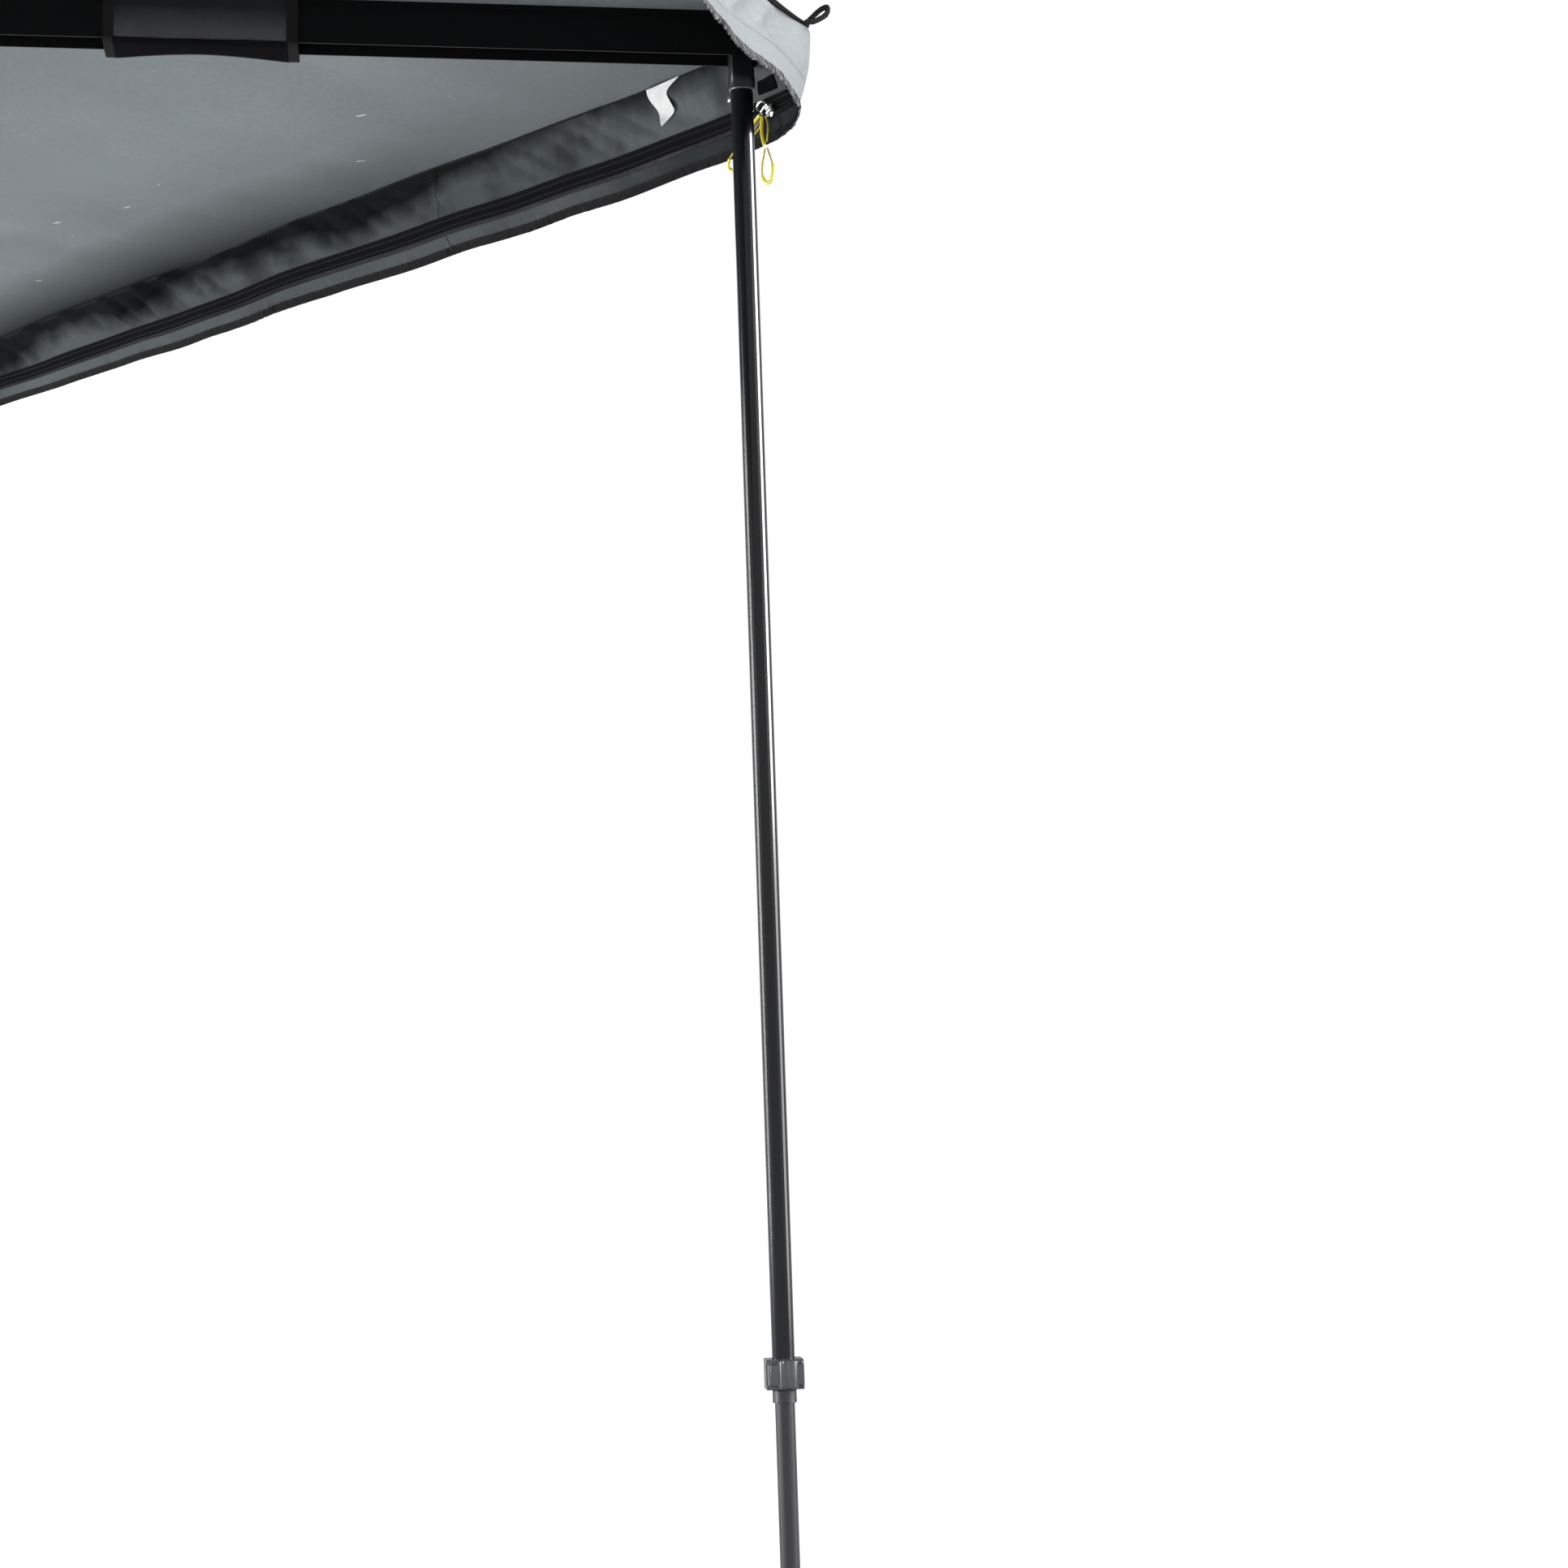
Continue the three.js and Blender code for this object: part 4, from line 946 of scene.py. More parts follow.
def add_strip(name, half, ring, look, slot="strap_webbing", outer=None, start=0.004, end=None, step=0.0033):
    """A closed strip that follows the valance: ring holds places of (down, off the face), and outer is the
    look of what lies on the valance's outside, if another."""
    end = half.length if end is None else end
    ring = finer(ring)
    cols = max(8, int((end - start) / step))
    along = np.linspace(start, end, cols)
    rings = np.stack([valance(half, along, d, o) for d, o in ring], axis=1)
    uv = np.stack([np.repeat(along, len(ring)), np.tile([d for d, _ in ring], cols)], axis=-1)
    outside = [o > 0 for _, o in ring] * (cols - 1) + [False, False]
    piece(f"{name}_{half.name}", loft(rings), [look, outer or look], slot, half,
          which=outside, uv=uv, sharp=40)


def hem_binding(half):
    low, inside = SLANT - BINDING, -CLOTH
    ring = [(low, 0.0003), (low, 0.0011), (SLANT + 0.0004, 0.0012), (SLANT + 0.0016, 0.0004),
            (SLANT + 0.0016, inside - 0.0004), (SLANT + 0.0004, inside - 0.0012), (low, inside - 0.0011),
            (low, inside - 0.0003), (SLANT - 0.0006, inside - 0.0002), (SLANT - 0.0006, 0.0002)]
    add_strip("hem_binding", half, ring, "binding", outer="ruffle", start=0.0006)


def zip_tape(half):
    face = -CLOTH - 0.0002
    tape = [(TAPE[0], face), (TAPE[0], face - 0.0008), (TAPE[1], face - 0.0008), (TAPE[1], face)]
    add_strip("zip_tape", half, tape, "black_tape")
    flap = [(down, face - off) for down, off in zip(FLAP, (0.0010, 0.0022, 0.0024, 0.0010))]
    add_strip("zip_flap", half, flap, "black_tape")
    # Each welt is a ridge in the lighter cloth, a painted highlight along it
    for line, place in WELTS.items():
        welt = [(place, face - 0.0007), (place + 0.0001, face - 0.0013), (place + 0.0005, face - 0.0013),
                (place + 0.0006, face - 0.0007)]
        add_strip(f"zip_welt_{line}", half, welt, "welt")


def zip_teeth(half, pitch=0.0033):
    """The teeth of the zip's coil along the tape, each a small ridged block."""
    along = np.arange(0.008, half.length, pitch)
    face = -CLOTH - 0.0010
    corners = []
    for half_wide, tall, off in ((0.00085, 0.0029, face), (0.00060, 0.00232, face - 0.0021)):
        for d in (-tall, tall):
            for a in (-half_wide, half_wide):
                corners.append(valance(half, along + a, COIL + d, off))
    points = np.stack(corners, axis=1).reshape(-1, 3)
    box = np.array([[0, 1, 3, 2], [4, 6, 7, 5], [0, 4, 5, 1], [2, 3, 7, 6], [0, 2, 6, 4], [1, 5, 7, 3]])
    faces = (box[None] + 8 * np.arange(len(along))[:, None, None]).reshape(-1, 4)
    piece(f"zip_teeth_{half.name}", (points, faces), ["zip"], "black_plastic", half, sharp=30)


# The stitches' spacing, and each one's faces, by its six points
STITCH = 0.0042
STITCH_FACES = np.array([[0, 2, 3], [0, 3, 4], [0, 4, 5], [0, 5, 2],
                         [1, 3, 2], [1, 4, 3], [1, 5, 4], [1, 2, 5]])


def stitch_points(half, along, down, off, run=(0.0014, 0.0), size=0.00048, proud=0.00034):
    """Six corners of each stitch: its two ends, and its middle's four sides."""
    a, d = run
    x, y = size * bool(d), size * (not d)
    places = ((-a, -d, 0), (a, d, 0), (x, y, 0), (0, 0, proud), (-x, -y, 0), (0, 0, -proud))
    points = [valance(half, along + x, down + y, off + z) for x, y, z in places]
    return np.stack(points, axis=1).reshape(-1, 3)


def thread(name, points, mover):
    """Stitches as one piece, from six points each."""
    faces = (STITCH_FACES[None] + 6 * np.arange(len(points) // 6)[:, None, None]).reshape(-1, 3)
    piece(name, (points, faces), ["thread"], "strap_webbing", mover)


def stitches(half):
    """Rows of thread along the tape and the binding, and up the seam; the binding's and the seam's on both
    faces.
    """
    rows = []
    hem = SLANT - BINDING
    along = np.arange(0.006, half.length, STITCH)
    for down in (TAPE[0] + 0.0015, TAPE[0] + 0.0040, hem + 0.002):
        rows.append(stitch_points(half, along, down, 0.0011 if down > hem else 0.0))
        if down > TAPE[1]:
            rows.append(stitch_points(half, along, down, -CLOTH - 0.0010))
    if half.side > 0:
        down = np.concatenate([np.arange(0.006, TAPE[0], STITCH), np.arange(TAPE[1], hem, STITCH)])
        for beside in (0.004, 0.010):
            for face in (0.0, -CLOTH - 0.0008):
                rows.append(stitch_points(half, seam_at(down) + beside, down, face, run=(0.0, 0.0013)))
    thread(f"stitches_{half.name}", np.concatenate(rows), half)


# The valance's seam: its place at the hem, and how far its top leans towards the corner
SEAM_ALONG = 0.830
SEAM_LEAN = 0.036


def seam_at(down):
    """The valance's seam runs up from the hem and bends towards the corner in its top third."""
    return SEAM_ALONG - SEAM_LEAN * np.clip(1 - down / 0.061, 0, 1) ** 2


def valance_seam(half, rows=12):
    """The lapped joint of two lengths of valance cloth, on its inside."""
    face = -CLOTH - 0.0001
    edge = [(-0.0010, face), (-0.0005, face - 0.0010), (0.0130, face - 0.0006), (0.0135, face)]
    for part, (top, bottom) in (("upper", (0.003, TAPE[0])), ("lower", (TAPE[1], SLANT - BINDING))):
        down = np.linspace(top, bottom, rows)
        rings = np.stack([valance(half, seam_at(down) + a, down, o) for a, o in edge], axis=1)
        uv = stacked(np.array([a for a, _ in edge])[None], down[:, None])
        piece(f"valance_seam_{part}_{half.name}", loft(rings), ["inside"], "canopy_canvas", half, uv=uv)


def piping(half):
    """The black webbing bound along the crease: a flat band, which narrows towards the corner."""
    along = np.linspace(0, half.length, 180)
    tall = 0.0026 + 0.0050 * smooth(along, 0.02, 0.20)
    path = valance(half, along, 0.0, 0.0) + half.out * 0.0006
    path[:, 2] += tall - 0.0034
    angle = circle(12)
    rings = (path[:, None] + half.out * (0.0021 * np.cos(angle))[None, :, None]
             + UP * (tall[:, None] * np.sin(angle)[None])[..., None])
    piece(f"edge_piping_{half.name}", loft(rings), ["binding"], "strap_webbing", half, uv=tube_uv(rings))


def corner_trim(half):
    """The webbing tab sewn inside the valance by the corner, on its pale backing, and a stud."""
    face = -CLOTH - 0.0002
    back = [(0.030, face), (0.030, face - 0.0006), (0.0615, face - 0.0006), (0.0615, face)]
    add_strip("corner_patch", half, back, "patch", "canopy_canvas", start=0.030, end=0.122)
    tab = [(0.041, face - 0.0008), (0.041, face - 0.0026), (0.057, face - 0.0026), (0.057, face - 0.0008)]
    add_strip("corner_tab", half, tab, "webbing", start=0.067, end=0.104)
    spot = valance(half, STUD_ALONG, STUD_DOWN, -CLOTH)
    stud = loft(placed(disc_rings(0.0037, 0.0022), spot, half.edge, UP, -half.out))
    piece(f"valance_stud_{half.name}", stud, ["bright"], "zip_metal", half)


# The arm band's half width, and that on an end arm's free side
BAND_HALF = 0.0262
BAND_TRIMMED = 0.0245


def arm_band(arm):
    """The strip of canvas over an arm, sewn across the joint of two panels, cut off level on the end arms."""
    right = BAND_TRIMMED if arm == 0 else BAND_HALF
    left = np.linspace(-right, BAND_TRIMMED if arm == ARMS - 1 else BAND_HALF, 15)
    half = HALVES[(arm, -1 if arm else 1)]

    def height(along, left):
        down = (along + np.abs(left) / math.tan(math.pi / 3) - START) / RUN
        return canopy_top(half, down, np.zeros_like(down), on_arm(arm, along, left)) + 0.0003 + CLOTH

    far = CORNER - 0.001 - np.abs(left) / math.tan(math.pi / 3)
    along = START + (far - START) * np.linspace(0, 1, 120)[:, None]
    ripple = waves(along, left[None], 0.3, 900 + arm) * 0.0002
    grid = arm_point(arm, along, left, height(along, np.broadcast_to(left, along.shape)) + np.abs(ripple))
    obj = sheet(f"arm_band_{arm}", grid, CLOTH, ["outer"], UP, stacked(left[None], along))
    dress(obj, body_of_arm(arm))
    spots = np.arange(START + 0.01, CORNER - 0.03, 0.006)
    corners = ((-0.0019, 0, 0), (0.0019, 0, 0), (0, 0.0004, 0.0001), (0, 0, 0.0005), (0, -0.0004, 0.0001),
               (0, 0, -0.0001))
    points = []
    for place in (left[1], left[-2]):
        ends = [arm_point(arm, spots + a, place + b, height(spots, place) + c) for a, b, c in corners]
        points.append(np.stack(ends, axis=1).reshape(-1, 3))
    thread(f"arm_band_stitches_{arm}", np.concatenate(points), body_of_arm(arm))


for half_panel in HALVES.values():
    for make in (make_canopy, make_valance, hem_binding, zip_tape, zip_teeth, stitches, piping, corner_trim):
        make(half_panel)
    if half_panel.side > 0:
        valance_seam(half_panel)
for number in range(ARMS):
    arm_band(number)


# The blank care label: its two sides, as (along from the corner, down from the crease)
LABEL_LEFT = [(0.3146, 0.0012), (0.3183, 0.0140), (0.3121, 0.0322), (0.3126, 0.0478)]
LABEL_RIGHT = [(0.2470, 0.0006), (0.2725, 0.0090), (0.2800, 0.0176), (0.2775, 0.0317)]


def care_label(rows=20, cols=10):
    """A plain folded satin label in the crease of the last panel, near its first corner."""
    half = HALVES[(2, 1)]
    pick = np.linspace(0, 1, rows)

    def along_edge(edge):
        line = spline([(*place, 0) for place in edge], 8)
        share = np.linspace(0, 1, len(line))
        return np.stack([np.interp(pick, share, line[:, i]) for i in (0, 1)], axis=1)

    one, two = along_edge(LABEL_LEFT), along_edge(LABEL_RIGHT)
    across = np.linspace(0, 1, cols)
    flat = one[:, None] + (two - one)[:, None] * across[None, :, None]
    curl = 0.0022 + 0.004 * pick[:, None] + 0.003 * np.sin(math.pi * (across[None] * 1.1 + pick[:, None]))
    grid = valance(half, flat[..., 0], flat[..., 1], -CLOTH - curl)
    obj = sheet("care_label", grid, 0.0003, ["label"], -half.out, flat)
    dress(obj, half)


care_label()


# The leg keepers, along the arm
KEEPER_MIDDLE = 1.7695
KEEPER_LENGTH = 0.215


def keeper_profile(share, ease):
    """The sleeve's outline across the arm, as (left, z), down one side, under and up the other."""
    half = ARM_HALF + 0.0008 + ease
    near, far = ARM_LOW - 0.0012 - ease, ARM_LOW - 0.0078 - ease
    sag = 0.0016 * math.sin(math.pi * share)
    side = [(-half, z) for z in np.linspace(ARM_TOP - 0.0005, near + 0.003, 14)]
    under = []
    for t in np.linspace(-1, 1, 25):
        level = near + (far - near) * (t + 1) / 2
        under.append((t * half, level + 0.0030 * abs(t) ** 10 - sag * (1 - t * t)))
    other = [(half, z) for z in np.linspace(far + 0.003, ARM_TOP - 0.0005, 14)]
    return np.array(side + under + other)


def keeper_along(share):
    return KEEPER_MIDDLE + (share - 0.5) * KEEPER_LENGTH


def keeper_grid(arm, shares, ease=0.0, wrinkle=0.0009):
    rows = []
    for share in shares:
        left, z = keeper_profile(share, ease).T
        run = np.arange(len(left)) * 0.004
        bulge = wrinkle * (1 + waves(keeper_along(share), run, 0.07, 700 + arm))
        bulge = bulge * smooth(run, 0.0, 0.02) * smooth(run[::-1], 0.0, 0.02)
        rows.append(arm_point(arm, keeper_along(share), left + np.sign(left) * bulge, z - bulge * 0.4))
    return np.array(rows)


def keeper_piece(name, arm, grid, thick, looks, uv=None, stands_for=None):
    facing = grid - arm_point(arm, KEEPER_MIDDLE, 0.0, (ARM_LOW + ARM_TOP) / 2)
    obj = sheet(f"keeper_{name}_{arm}", grid, thick, looks, facing, uv)
    return dress(obj, f"arm_{arm}", stands_for)


def leg_keeper(arm):
    grid = keeper_grid(arm, np.linspace(0.01, 0.99, 44))
    run = run_along(grid[20])
    uv = stacked(np.linspace(0, KEEPER_LENGTH, 44)[:, None], run[None])
    obj = keeper_piece("cloth", arm, grid, CLOTH, ["keeper", "under"], uv,
                       f"leg_keeper_{arm}")
    for end, low, high in (("near", 0.0, 0.055), ("far", 0.94, 1.0)):
        edge = keeper_grid(arm, np.linspace(low, high, 7), ease=0.0024, wrinkle=0)
        keeper_piece(f"binding_{end}", arm, edge, 0.0009, ["binding"], uv[:7])

    # The closing strip under the sleeve's near side, wider towards its ends, and the lining beyond it
    for name, look, slot in (("hook_strip", "webbing", "strap_webbing"),
                             ("lining", "under", "canopy_canvas")):
        rows = []
        for share in np.linspace(0.05, 0.945, 40):
            under = keeper_profile(share, 0.0028)[14:39]
            last = len(under) - 1
            wide = (0.52 + 0.46 * abs(2 * share - 1) ** 1.7) * last
            first, end = (0, wide) if name == "hook_strip" else (wide + 0.04 * last, last)
            pick = np.linspace(first, end, 10)
            left, z = (np.interp(pick, np.arange(len(under)), values) for values in under.T)
            rows.append(arm_point(arm, keeper_along(share), left, z))
        keeper_piece(name, arm, np.array(rows), 0.0009, [look])


for number in range(1, ARMS):
    leg_keeper(number)


# Zip sliders: their bails' routes and their slanting bars' places, as (along, up)
BAILS = (
    [(0.0120, 0.0010), (0.0153, 0.0055), (0.0115, 0.0102), (0.0045, 0.0108), (-0.0007, 0.0068)],
    [(-0.0050, 0.0030), (-0.0110, 0.0008), (-0.0149, -0.0045), (-0.0142, -0.0080), (-0.0125, -0.0105)],
)
SLANT_BARS = ((0.0020, 0.0022), (-0.0007, -0.0012), (-0.0034, -0.0046))

# The shell's blocks: size, rounding, and place along and inwards
SHELL_BLOCKS = (
    ((0.019, 0.0125, 0.0024), 0.0010, 0, 0.0026), ((0.018, 0.0110, 0.0022), 0.0009, 0, -0.0024),
    ((0.005, 0.0080, 0.0062), 0.0008, 0.006, 0), ((0.0022, 0.0125, 0.0040), 0.0009, -0.0035, 0.0044),
    ((0.0022, 0.0125, 0.0040), 0.0009, 0.0020, 0.0044),
)


def zip_slider(panel):
    _, place, along, inward, up = slider_frame(panel)
    body = f"zip_slider_{panel}"
    shell = [block(size, round_by, place + along * a + inward * i, along, up, inward)
             for size, round_by, a, i in SHELL_BLOCKS]
    for route in BAILS:
        path = np.array([place + along * a + up * z + inward * 0.0062 for a, z in spline(route, 6)])
        shell.append(loft(tube_rings(path, 0.0014, 10)))
    lean = unit(-along * 0.0113 + up * 0.0060)
    for a, z in SLANT_BARS:
        shell.append(block((0.0150, 0.0023, 0.0034), 0.0009, place + along * a + up * z + inward * 0.0058,
                           lean, np.cross(inward, lean), inward))
    piece(f"slider_shell_{panel}", merged(shell), ["bright"], "zip_metal", body, body)
    for number in PULLS:
        origin, flat, lengthwise, off = pull_axes(panel, number)
        tab = [block((0.0072, 0.031, 0.0014), 0.0007, origin - lengthwise * 0.0245, flat, lengthwise, off),
               block((0.0050, 0.012, 0.0032), 0.0012, origin - lengthwise * 0.0065, flat, lengthwise, off)]
        piece(f"pull_tab_{panel}_{number}", merged(tab), ["plastic"], "zip_metal", body)
        beads = []
        for x, z in ((0.0026, -0.0385), (-0.0016, -0.0445)):
            centre = origin + flat * x + lengthwise * z + off * 0.0012
            path = centre + lengthwise * np.linspace(-0.0021, 0.0021, 5)[:, None]
            beads.append(loft(tube_rings(path, np.array([0.4, 0.85, 1.0, 0.85, 0.4]) * 0.0023, 12)))
        piece(f"pull_beads_{panel}_{number}", merged(beads), ["bright"], "zip_metal", body)


for panel_number in SLIDERS:
    zip_slider(panel_number)


# The rolled cover bag and its straps: its radius under a strap, and its ends as (share of it, inwards)
BAG_WAIST = 0.029
BAG_CAPS = ((0.25, 0.010), (0.6, 0.006), (0.9, -0.001))


def cover_bag():
    low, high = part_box("rolled_cover_bag")
    centre = ((low.y + high.y) / 2, (low.z + high.z) / 2)
    full = (high.z - low.z) / 2
    straps = [(a.x + b.x) / 2 for a, b in (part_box("bag_strap_rear"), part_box("bag_strap_front"))]
    x = np.linspace(low.x, high.x, 260)
    near = np.min([np.abs(x - s) for s in straps], axis=0)
    angle = circle(72)
    size = BAG_WAIST + (full - BAG_WAIST) * np.minimum(1, near / 0.12) ** 1.5 - 0.0012
    roll = 1 - 0.075 * ((angle - 0.9) % (2 * math.pi)) / (2 * math.pi)
    crease = 0.0011 * waves(x[:, None] * 0.9, angle[None] * 0.05, 0.11, 501)
    tuck = 0.0010 * ridges(x[:, None], angle[None] * 0.03, 0.06, 502) * np.exp(-near / 0.09)[:, None]
    radius = size[:, None] * roll[None] + crease + tuck
    rings = stacked(x[:, None], centre[0] + radius * np.cos(angle), centre[1] + radius * np.sin(angle))

    def cap(end, way, shrink, push):
        return [x[end] + way * push, *centre] + (rings[end] - [x[end], *centre]) * [1, shrink, shrink]

    near_end = [cap(0, 1, *size) for size in BAG_CAPS]
    far_end = [cap(-1, -1, *size) for size in BAG_CAPS[::-1]]
    rings = np.concatenate([near_end, rings, far_end])
    uv = stacked(rings[..., 0], angle[None] * full)
    piece("cover_bag_cloth", loft(rings), ["cover"], "cover_fabric", "root", "rolled_cover_bag",
          uv=uv, sharp=60)


def bag_strap(place):
    low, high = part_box(f"bag_strap_{place}")
    middle = np.array((low + high) / 2)
    radius = (high.z - low.z) / 2 - 0.0003
    angle = circle(64)
    wide = np.array([-0.0185, -0.0175, 0.0175, 0.0185])
    ring = [*zip(wide, radius - np.array([0.0009, 0, 0, 0.0009]))]
    ring += [(w, radius - 0.0016) for w in wide[::-1]]
    rows = middle + np.array([[[w, r * math.cos(a), r * math.sin(a)] for w, r in ring] for a in angle])
    sides, count = len(ring), len(angle)
    faces = [[i * sides + j, i * sides + (j + 1) % sides, (i + 1) % count * sides + (j + 1) % sides,
              (i + 1) % count * sides + j] for i in range(count) for j in range(sides)]
    uv = np.stack([rows[..., 0].ravel(), np.repeat(angle * radius, sides)], axis=-1)
    piece(f"strap_webbing_{place}", (rows, faces), ["webbing"], "strap_webbing", "root",
          f"bag_strap_{place}", uv=uv)
    out = np.array([0, math.cos(-0.25), math.sin(-0.25)])
    across = np.array([1.0, 0, 0])
    tangent = np.cross(out, across)
    centre = middle + out * (radius + 0.0035)
    buckle = merged([
        block((0.046, 0.030, 0.0070), 0.0022, centre + tangent * 0.012, across, tangent, out),
        block((0.042, 0.020, 0.0056), 0.0020, centre - tangent * 0.016, across, tangent, out),
    ])
    piece(f"strap_buckle_{place}", buckle, ["plastic"], "black_plastic", "root")


cover_bag()
for strap_place in ("rear", "front"):
    bag_strap(strap_place)


# Small fasteners, in the leg's own axes
LEG_LEAN = math.radians(1.8)
LEG_PIVOT = (2.374, 0.0, 0.0415)
TUBE_RADIUS = 0.01285
COLLAR_END = 1.5300


def leg_axes(number):
    """The leg's pivot, and its own axes: out from the arm's end, across the arm, and down the tube."""
    outward, left = arm_axes(number)
    down = outward * math.sin(LEG_LEAN) - UP * math.cos(LEG_LEAN)
    ahead = outward * math.cos(LEG_LEAN) + UP * math.sin(LEG_LEAN)
    return arm_point(number, *LEG_PIVOT), ahead, left, down


def leg_ring(number, outline, depth):
    """Points round the leg: the outline is (ahead, left), and depth is down from the pivot."""
    pivot, ahead, left, down = leg_axes(number)
    depth = np.broadcast_to(depth, len(outline))[:, None]
    return pivot + outline[:, :1] * ahead + outline[:, 1:] * left + depth * down


def round_outline(width, depth, power=2, count=48):
    """A superellipse: power 2 is an ellipse, more is squarer."""
    c, s = np.cos(circle(count)), np.sin(circle(count))
    return np.column_stack([width * np.sign(c) * np.abs(c) ** (2 / power),
                            depth * np.sign(s) * np.abs(s) ** (2 / power)])


def round_rings(number, sizes):
    """Round rings on the leg, each a radius and a depth, and the first of them again at the end."""
    rings = [leg_ring(number, round_outline(r, r), depth) for r, depth in sizes]
    return loft(np.array(rings + rings[:1]), closed=False)


# The knuckle's neck: depth, half widths ahead and across, and how square
NECK = [(0.0, 0.0136, 0.0188, 9), (0.030, 0.0136, 0.0188, 9), (0.040, 0.0138, 0.0188, 7),
        (0.047, 0.0146, 0.0180, 4.5), (0.0505, 0.0150, 0.0165, 3), (0.0532, 0.0149, 0.0152, 2.2),
        (0.0544, 0.0143, 0.0144, 2.0), (0.0548, 0.0131, 0.0131, 2.0), (0.045, TUBE_RADIUS, TUBE_RADIUS, 2)]
EYE_RADIUS = 0.0137
EYE_SIDES = ((-0.0190, 0.0010), (-0.0184, 0.0), (0.0184, 0.0), (0.0190, 0.0010))
RING_SIZES = ((0.0129, 0.0549), (0.0143, 0.0549), (0.0145, 0.0553), (0.0143, 0.0560), (0.0129, 0.0560))


def leg_knuckle(number):
    """The moulded knuckle: an eye round the pivot, and a square neck that rounds off to the tube. Under it
    lies a thin pale ring, a painted highlight along the knuckle's lower edge."""
    pivot, ahead, left, down = leg_axes(number)
    neck = np.array([leg_ring(number, round_outline(w, d, p), h) for h, w, d, p in NECK])
    angle = circle(40)[:, None]
    eye = [pivot + left * side + (EYE_RADIUS - inset) * (ahead * np.cos(angle) - down * np.sin(angle))
           for side, inset in EYE_SIDES]
    body = f"leg_{number}"
    piece(f"knuckle_body_{number}", merged([loft(neck), loft(np.array(eye))]), ["plastic"], "black_plastic",
          body, f"leg_knuckle_{number}", sharp=45)
    piece(f"knuckle_ring_{number}", round_rings(number, RING_SIZES), ["ring"], "bare_steel", body)


def tube_collar(number):
    """The collar under the clamp, with a finely notched rim."""
    rim_depth = COLLAR_END - np.where(np.arange(48) % 6 < 2, 0.0009, 0.0)
    rings = round_rings(number, (
        (TUBE_RADIUS, COLLAR_END - 0.0140), (0.0134, COLLAR_END - 0.0135), (0.0135, rim_depth),
        (0.0114, rim_depth), (0.0114, COLLAR_END - 0.006)))
    piece(f"tube_collar_{number}", rings, ["collar"], "black_plastic", f"leg_{number}")


# The clamp's lever: its face's outline as (ahead, out), and its ends' (rise, inset)
LEVER_FACE = [(-0.0093, 0.0176), (-0.0090, 0.0183), (-0.0062, 0.0190), (-0.0052, 0.0200), (-0.0040, 0.0199),
              (-0.0028, 0.0184), (-0.0010, 0.0174), (0.0010, 0.0180), (0.0034, 0.0200), (0.0060, 0.0211),
              (0.0086, 0.0212), (0.0110, 0.0203), (0.0130, 0.0187), (0.0142, 0.0183), (0.0150, 0.0192),
              (0.0158, 0.0184), (0.0166, 0.0193), (0.0174, 0.0185), (0.0184, 0.0200), (0.0200, 0.0209),
              (0.0204, 0.0206)]
LEVER_ENDS = ((-1.0, 0.0016), (-0.94, 0.0003), (-0.86, 0.0), (0.86, 0.0), (0.94, 0.0003), (1.0, 0.0016))
LEVER_TALL = 0.0306
LEVER_BACK = 0.0155
CLAMP_MIDDLE = 1.4985


def clamp_lever(number):
    """The clamp's lever: a moulded plate with a thumb swell and grip ridges, hinged between the ears."""
    pivot, ahead, left, down = leg_axes(number)
    middle = pivot + down * CLAMP_MIDDLE
    face = LEVER_FACE + [(LEVER_FACE[-1][0], LEVER_BACK), (LEVER_FACE[0][0], LEVER_BACK)]
    rings = []
    for rise, inset in LEVER_ENDS:
        end = middle + down * rise * LEVER_TALL / 2
        rings.append([end + ahead * x - left * max(LEVER_BACK, y - inset) for x, y in face])
    hinge_middle = middle - ahead * 0.0125 - left * 0.0171
    hinge = block((0.0085, 0.0034, 0.0216), 0.0008, hinge_middle, ahead, -left, -down)
    piece(f"lever_plate_{number}", merged([loft(np.array(rings)), hinge]), ["clamp"], "black_plastic",
          f"clamp_lever_{number}", sharp=28)


def end_cap_screws(arm):
    outward, left = arm_axes(arm)
    places = [arm_point(arm, ARM_REACH + 0.0033, side, z) for side in (-0.016, 0.016) for z in (0.030, 0.058)]
    screws = [loft(placed(disc_rings(0.0034, 0.0016), place, left, UP, outward)) for place in places]
    piece(f"end_cap_screws_{arm}", merged(screws), ["dark_steel"], "bare_steel", body_of_arm(arm))


for number in range(1, ARMS):
    leg_knuckle(number)
    tube_collar(number)
    clamp_lever(number)
for number in range(ARMS):
    end_cap_screws(number)


# Studio
FLOOR_HALF = 30
FLOOR_GREY = 0.86
FLOOR_GLOW = 0.45
AMBIENT = (0.97, 0.985, 1.0)
AMBIENT_STRENGTH = 0.80


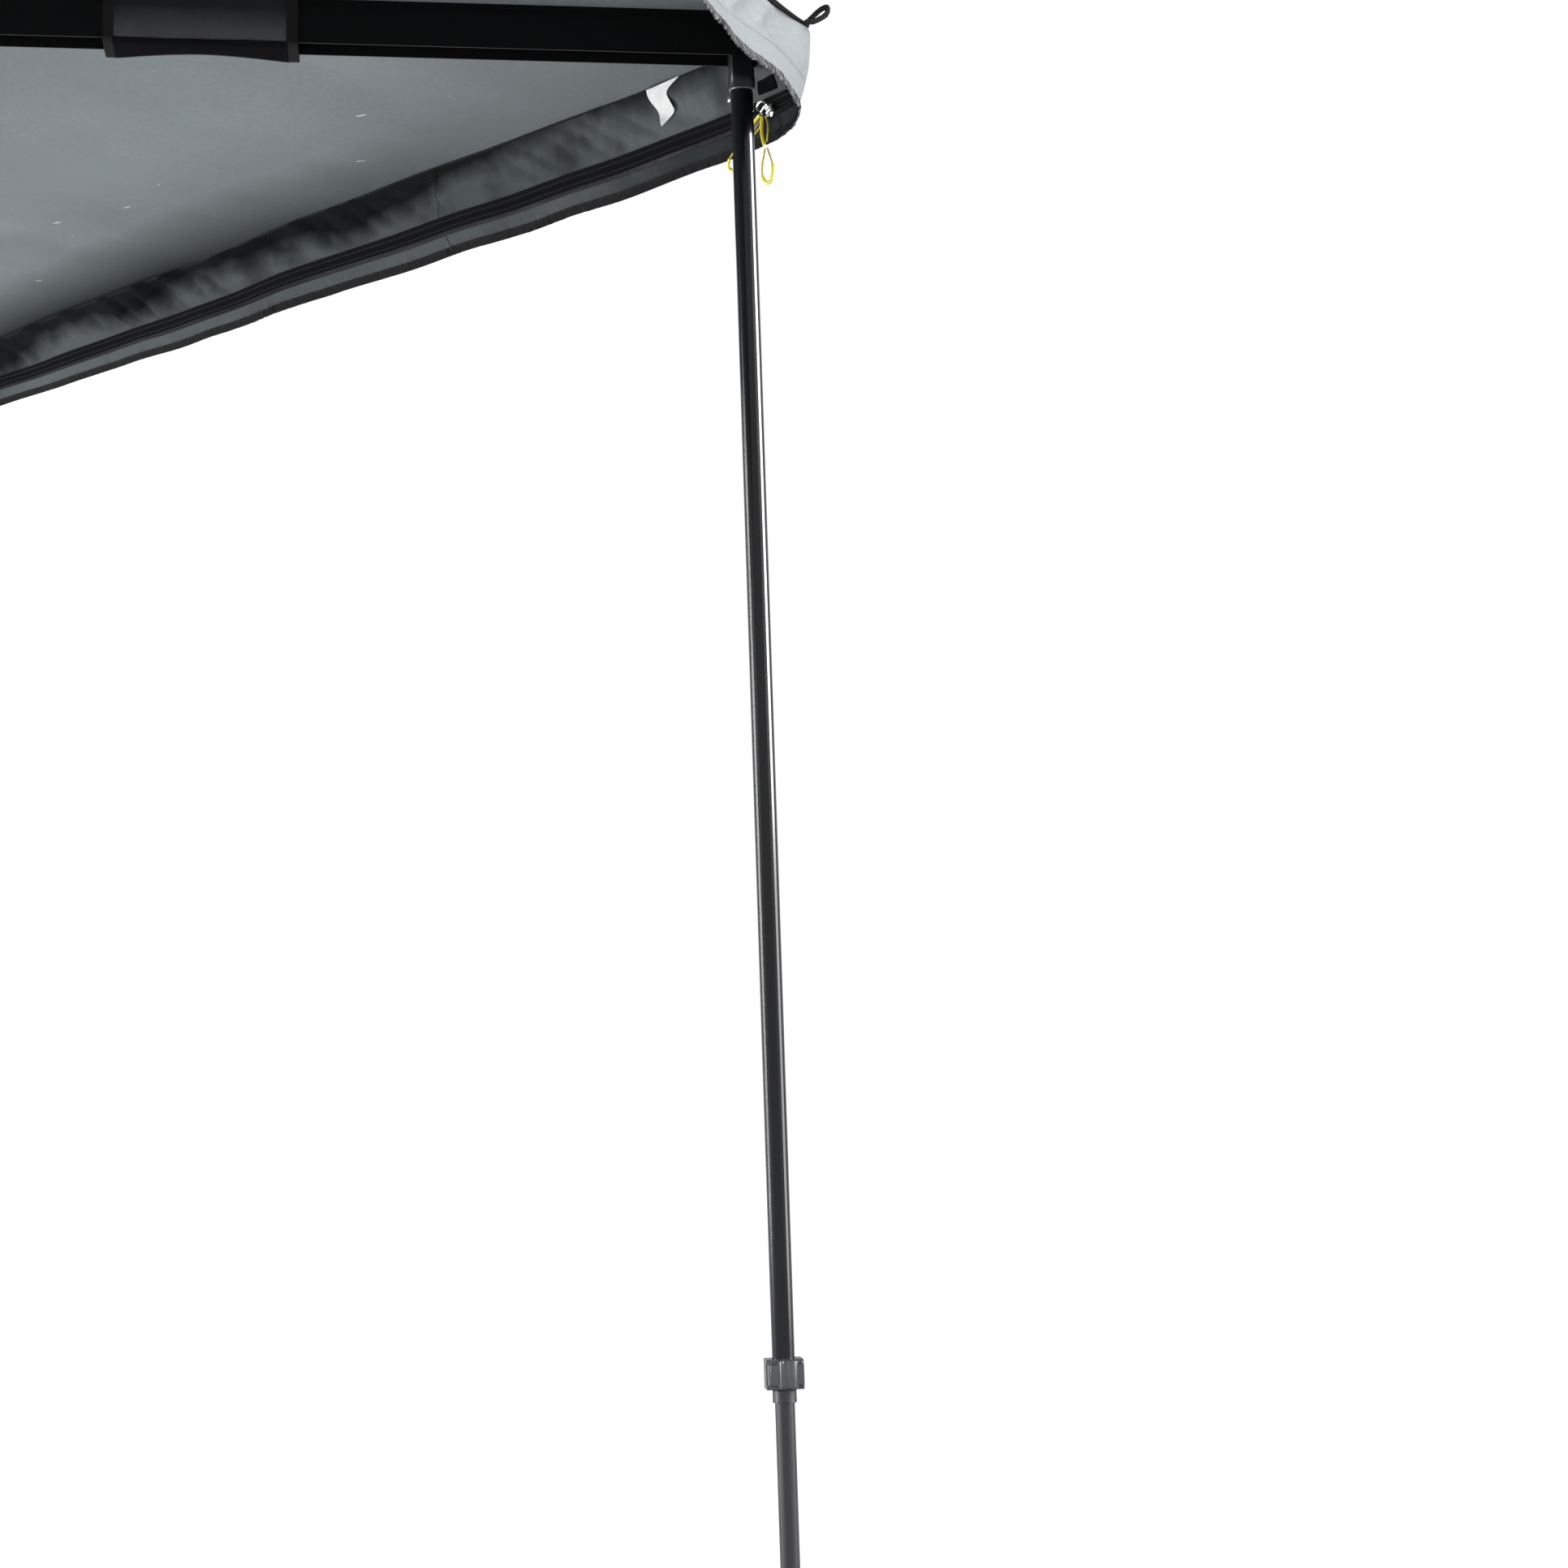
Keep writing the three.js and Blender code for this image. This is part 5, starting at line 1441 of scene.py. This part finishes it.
def studio():
    """A pale floor, and a world that lights evenly and is white behind the object and in its reflections."""
    mesh = bpy.data.meshes.new("floor")
    corners = ((-1, -1), (1, -1), (1, 1), (-1, 1))
    mesh.from_pydata([(x * FLOOR_HALF, y * FLOOR_HALF, GROUND) for x, y in corners], [], [(0, 1, 2, 3)])
    floor = bpy.data.objects.new("floor", mesh)
    bpy.context.scene.collection.objects.link(floor)
    look = bpy.data.materials.new("floor_white")
    look.use_nodes = True
    tree = Nodes(look.node_tree)
    diffuse = tree.node("ShaderNodeBsdfDiffuse", {"Color": (*(FLOOR_GREY,) * 3, 1)})
    seen = tree.math("MULTIPLY", tree.seen_by("Camera", "Glossy"), FLOOR_GLOW)
    glow = tree.node("ShaderNodeEmission", {"Strength": seen})
    both = tree.node("ShaderNodeAddShader", {0: diffuse.outputs[0], 1: glow.outputs[0]})
    tree.node("ShaderNodeOutputMaterial", {"Surface": both.outputs[0]})
    mesh.materials.append(look)

    world = bpy.data.worlds.new("studio")
    world.use_nodes = True
    bpy.context.scene.world = world
    tree = Nodes(world.node_tree)
    ambient = tree.node("ShaderNodeBackground", {"Color": (*AMBIENT, 1), "Strength": AMBIENT_STRENGTH})
    white = tree.node("ShaderNodeBackground", {"Color": (1, 1, 1, 1), "Strength": 1.0})
    seen = tree.seen_by("Camera", "Glossy", "Transmission")
    mixed = tree.node("ShaderNodeMixShader", {0: seen, 1: ambient.outputs[0], 2: white.outputs[0]})
    tree.node("ShaderNodeOutputWorld", {"Surface": mixed.outputs[0]})


def softbox(name, place, target, size, power, shine_only=False):
    """A lamp that lights surfaces, or one that is only seen in reflections."""
    data = bpy.data.lights.new(name, "AREA")
    data.shape = "RECTANGLE"
    data.size, data.size_y = size
    data.energy = power
    lamp = bpy.data.objects.new(name, data)
    lamp.location = place
    lamp.visible_camera = False
    lamp.visible_diffuse = not shine_only
    lamp.visible_glossy = shine_only
    lamp.rotation_mode = "QUATERNION"
    lamp.rotation_quaternion = (Vector(target) - Vector(place)).to_track_quat("-Z", "Y")
    bpy.context.scene.collection.objects.link(lamp)


studio()

# Lamps: place, target, size in metres and power in watts
softbox("key", (2.9, 5.1, 1.5), (-1.4, 2.2, -0.1), (1.4, 1.4), 170)
softbox("low", (-1.2, -1.7, -1.35), (-2.2, 1.2, 0.0), (1.1, 0.6), 85)
softbox("tube_shine", (-2.75, 6.10, 0.40), (-1.72, 2.24, -0.1), (2.7, 1.7), 813, shine_only=True)
softbox("low_shine", (-2.75, 6.10, -1.02), (-1.72, 2.24, -0.9), (2.7, 1.1), 120, shine_only=True)
softbox("back_shine", (0.40, -1.15, -0.72), (-1.72, 2.24, -0.72), (1.3, 1.8), 560, shine_only=True)

scene = bpy.context.scene
scene.view_settings.view_transform = "Standard"
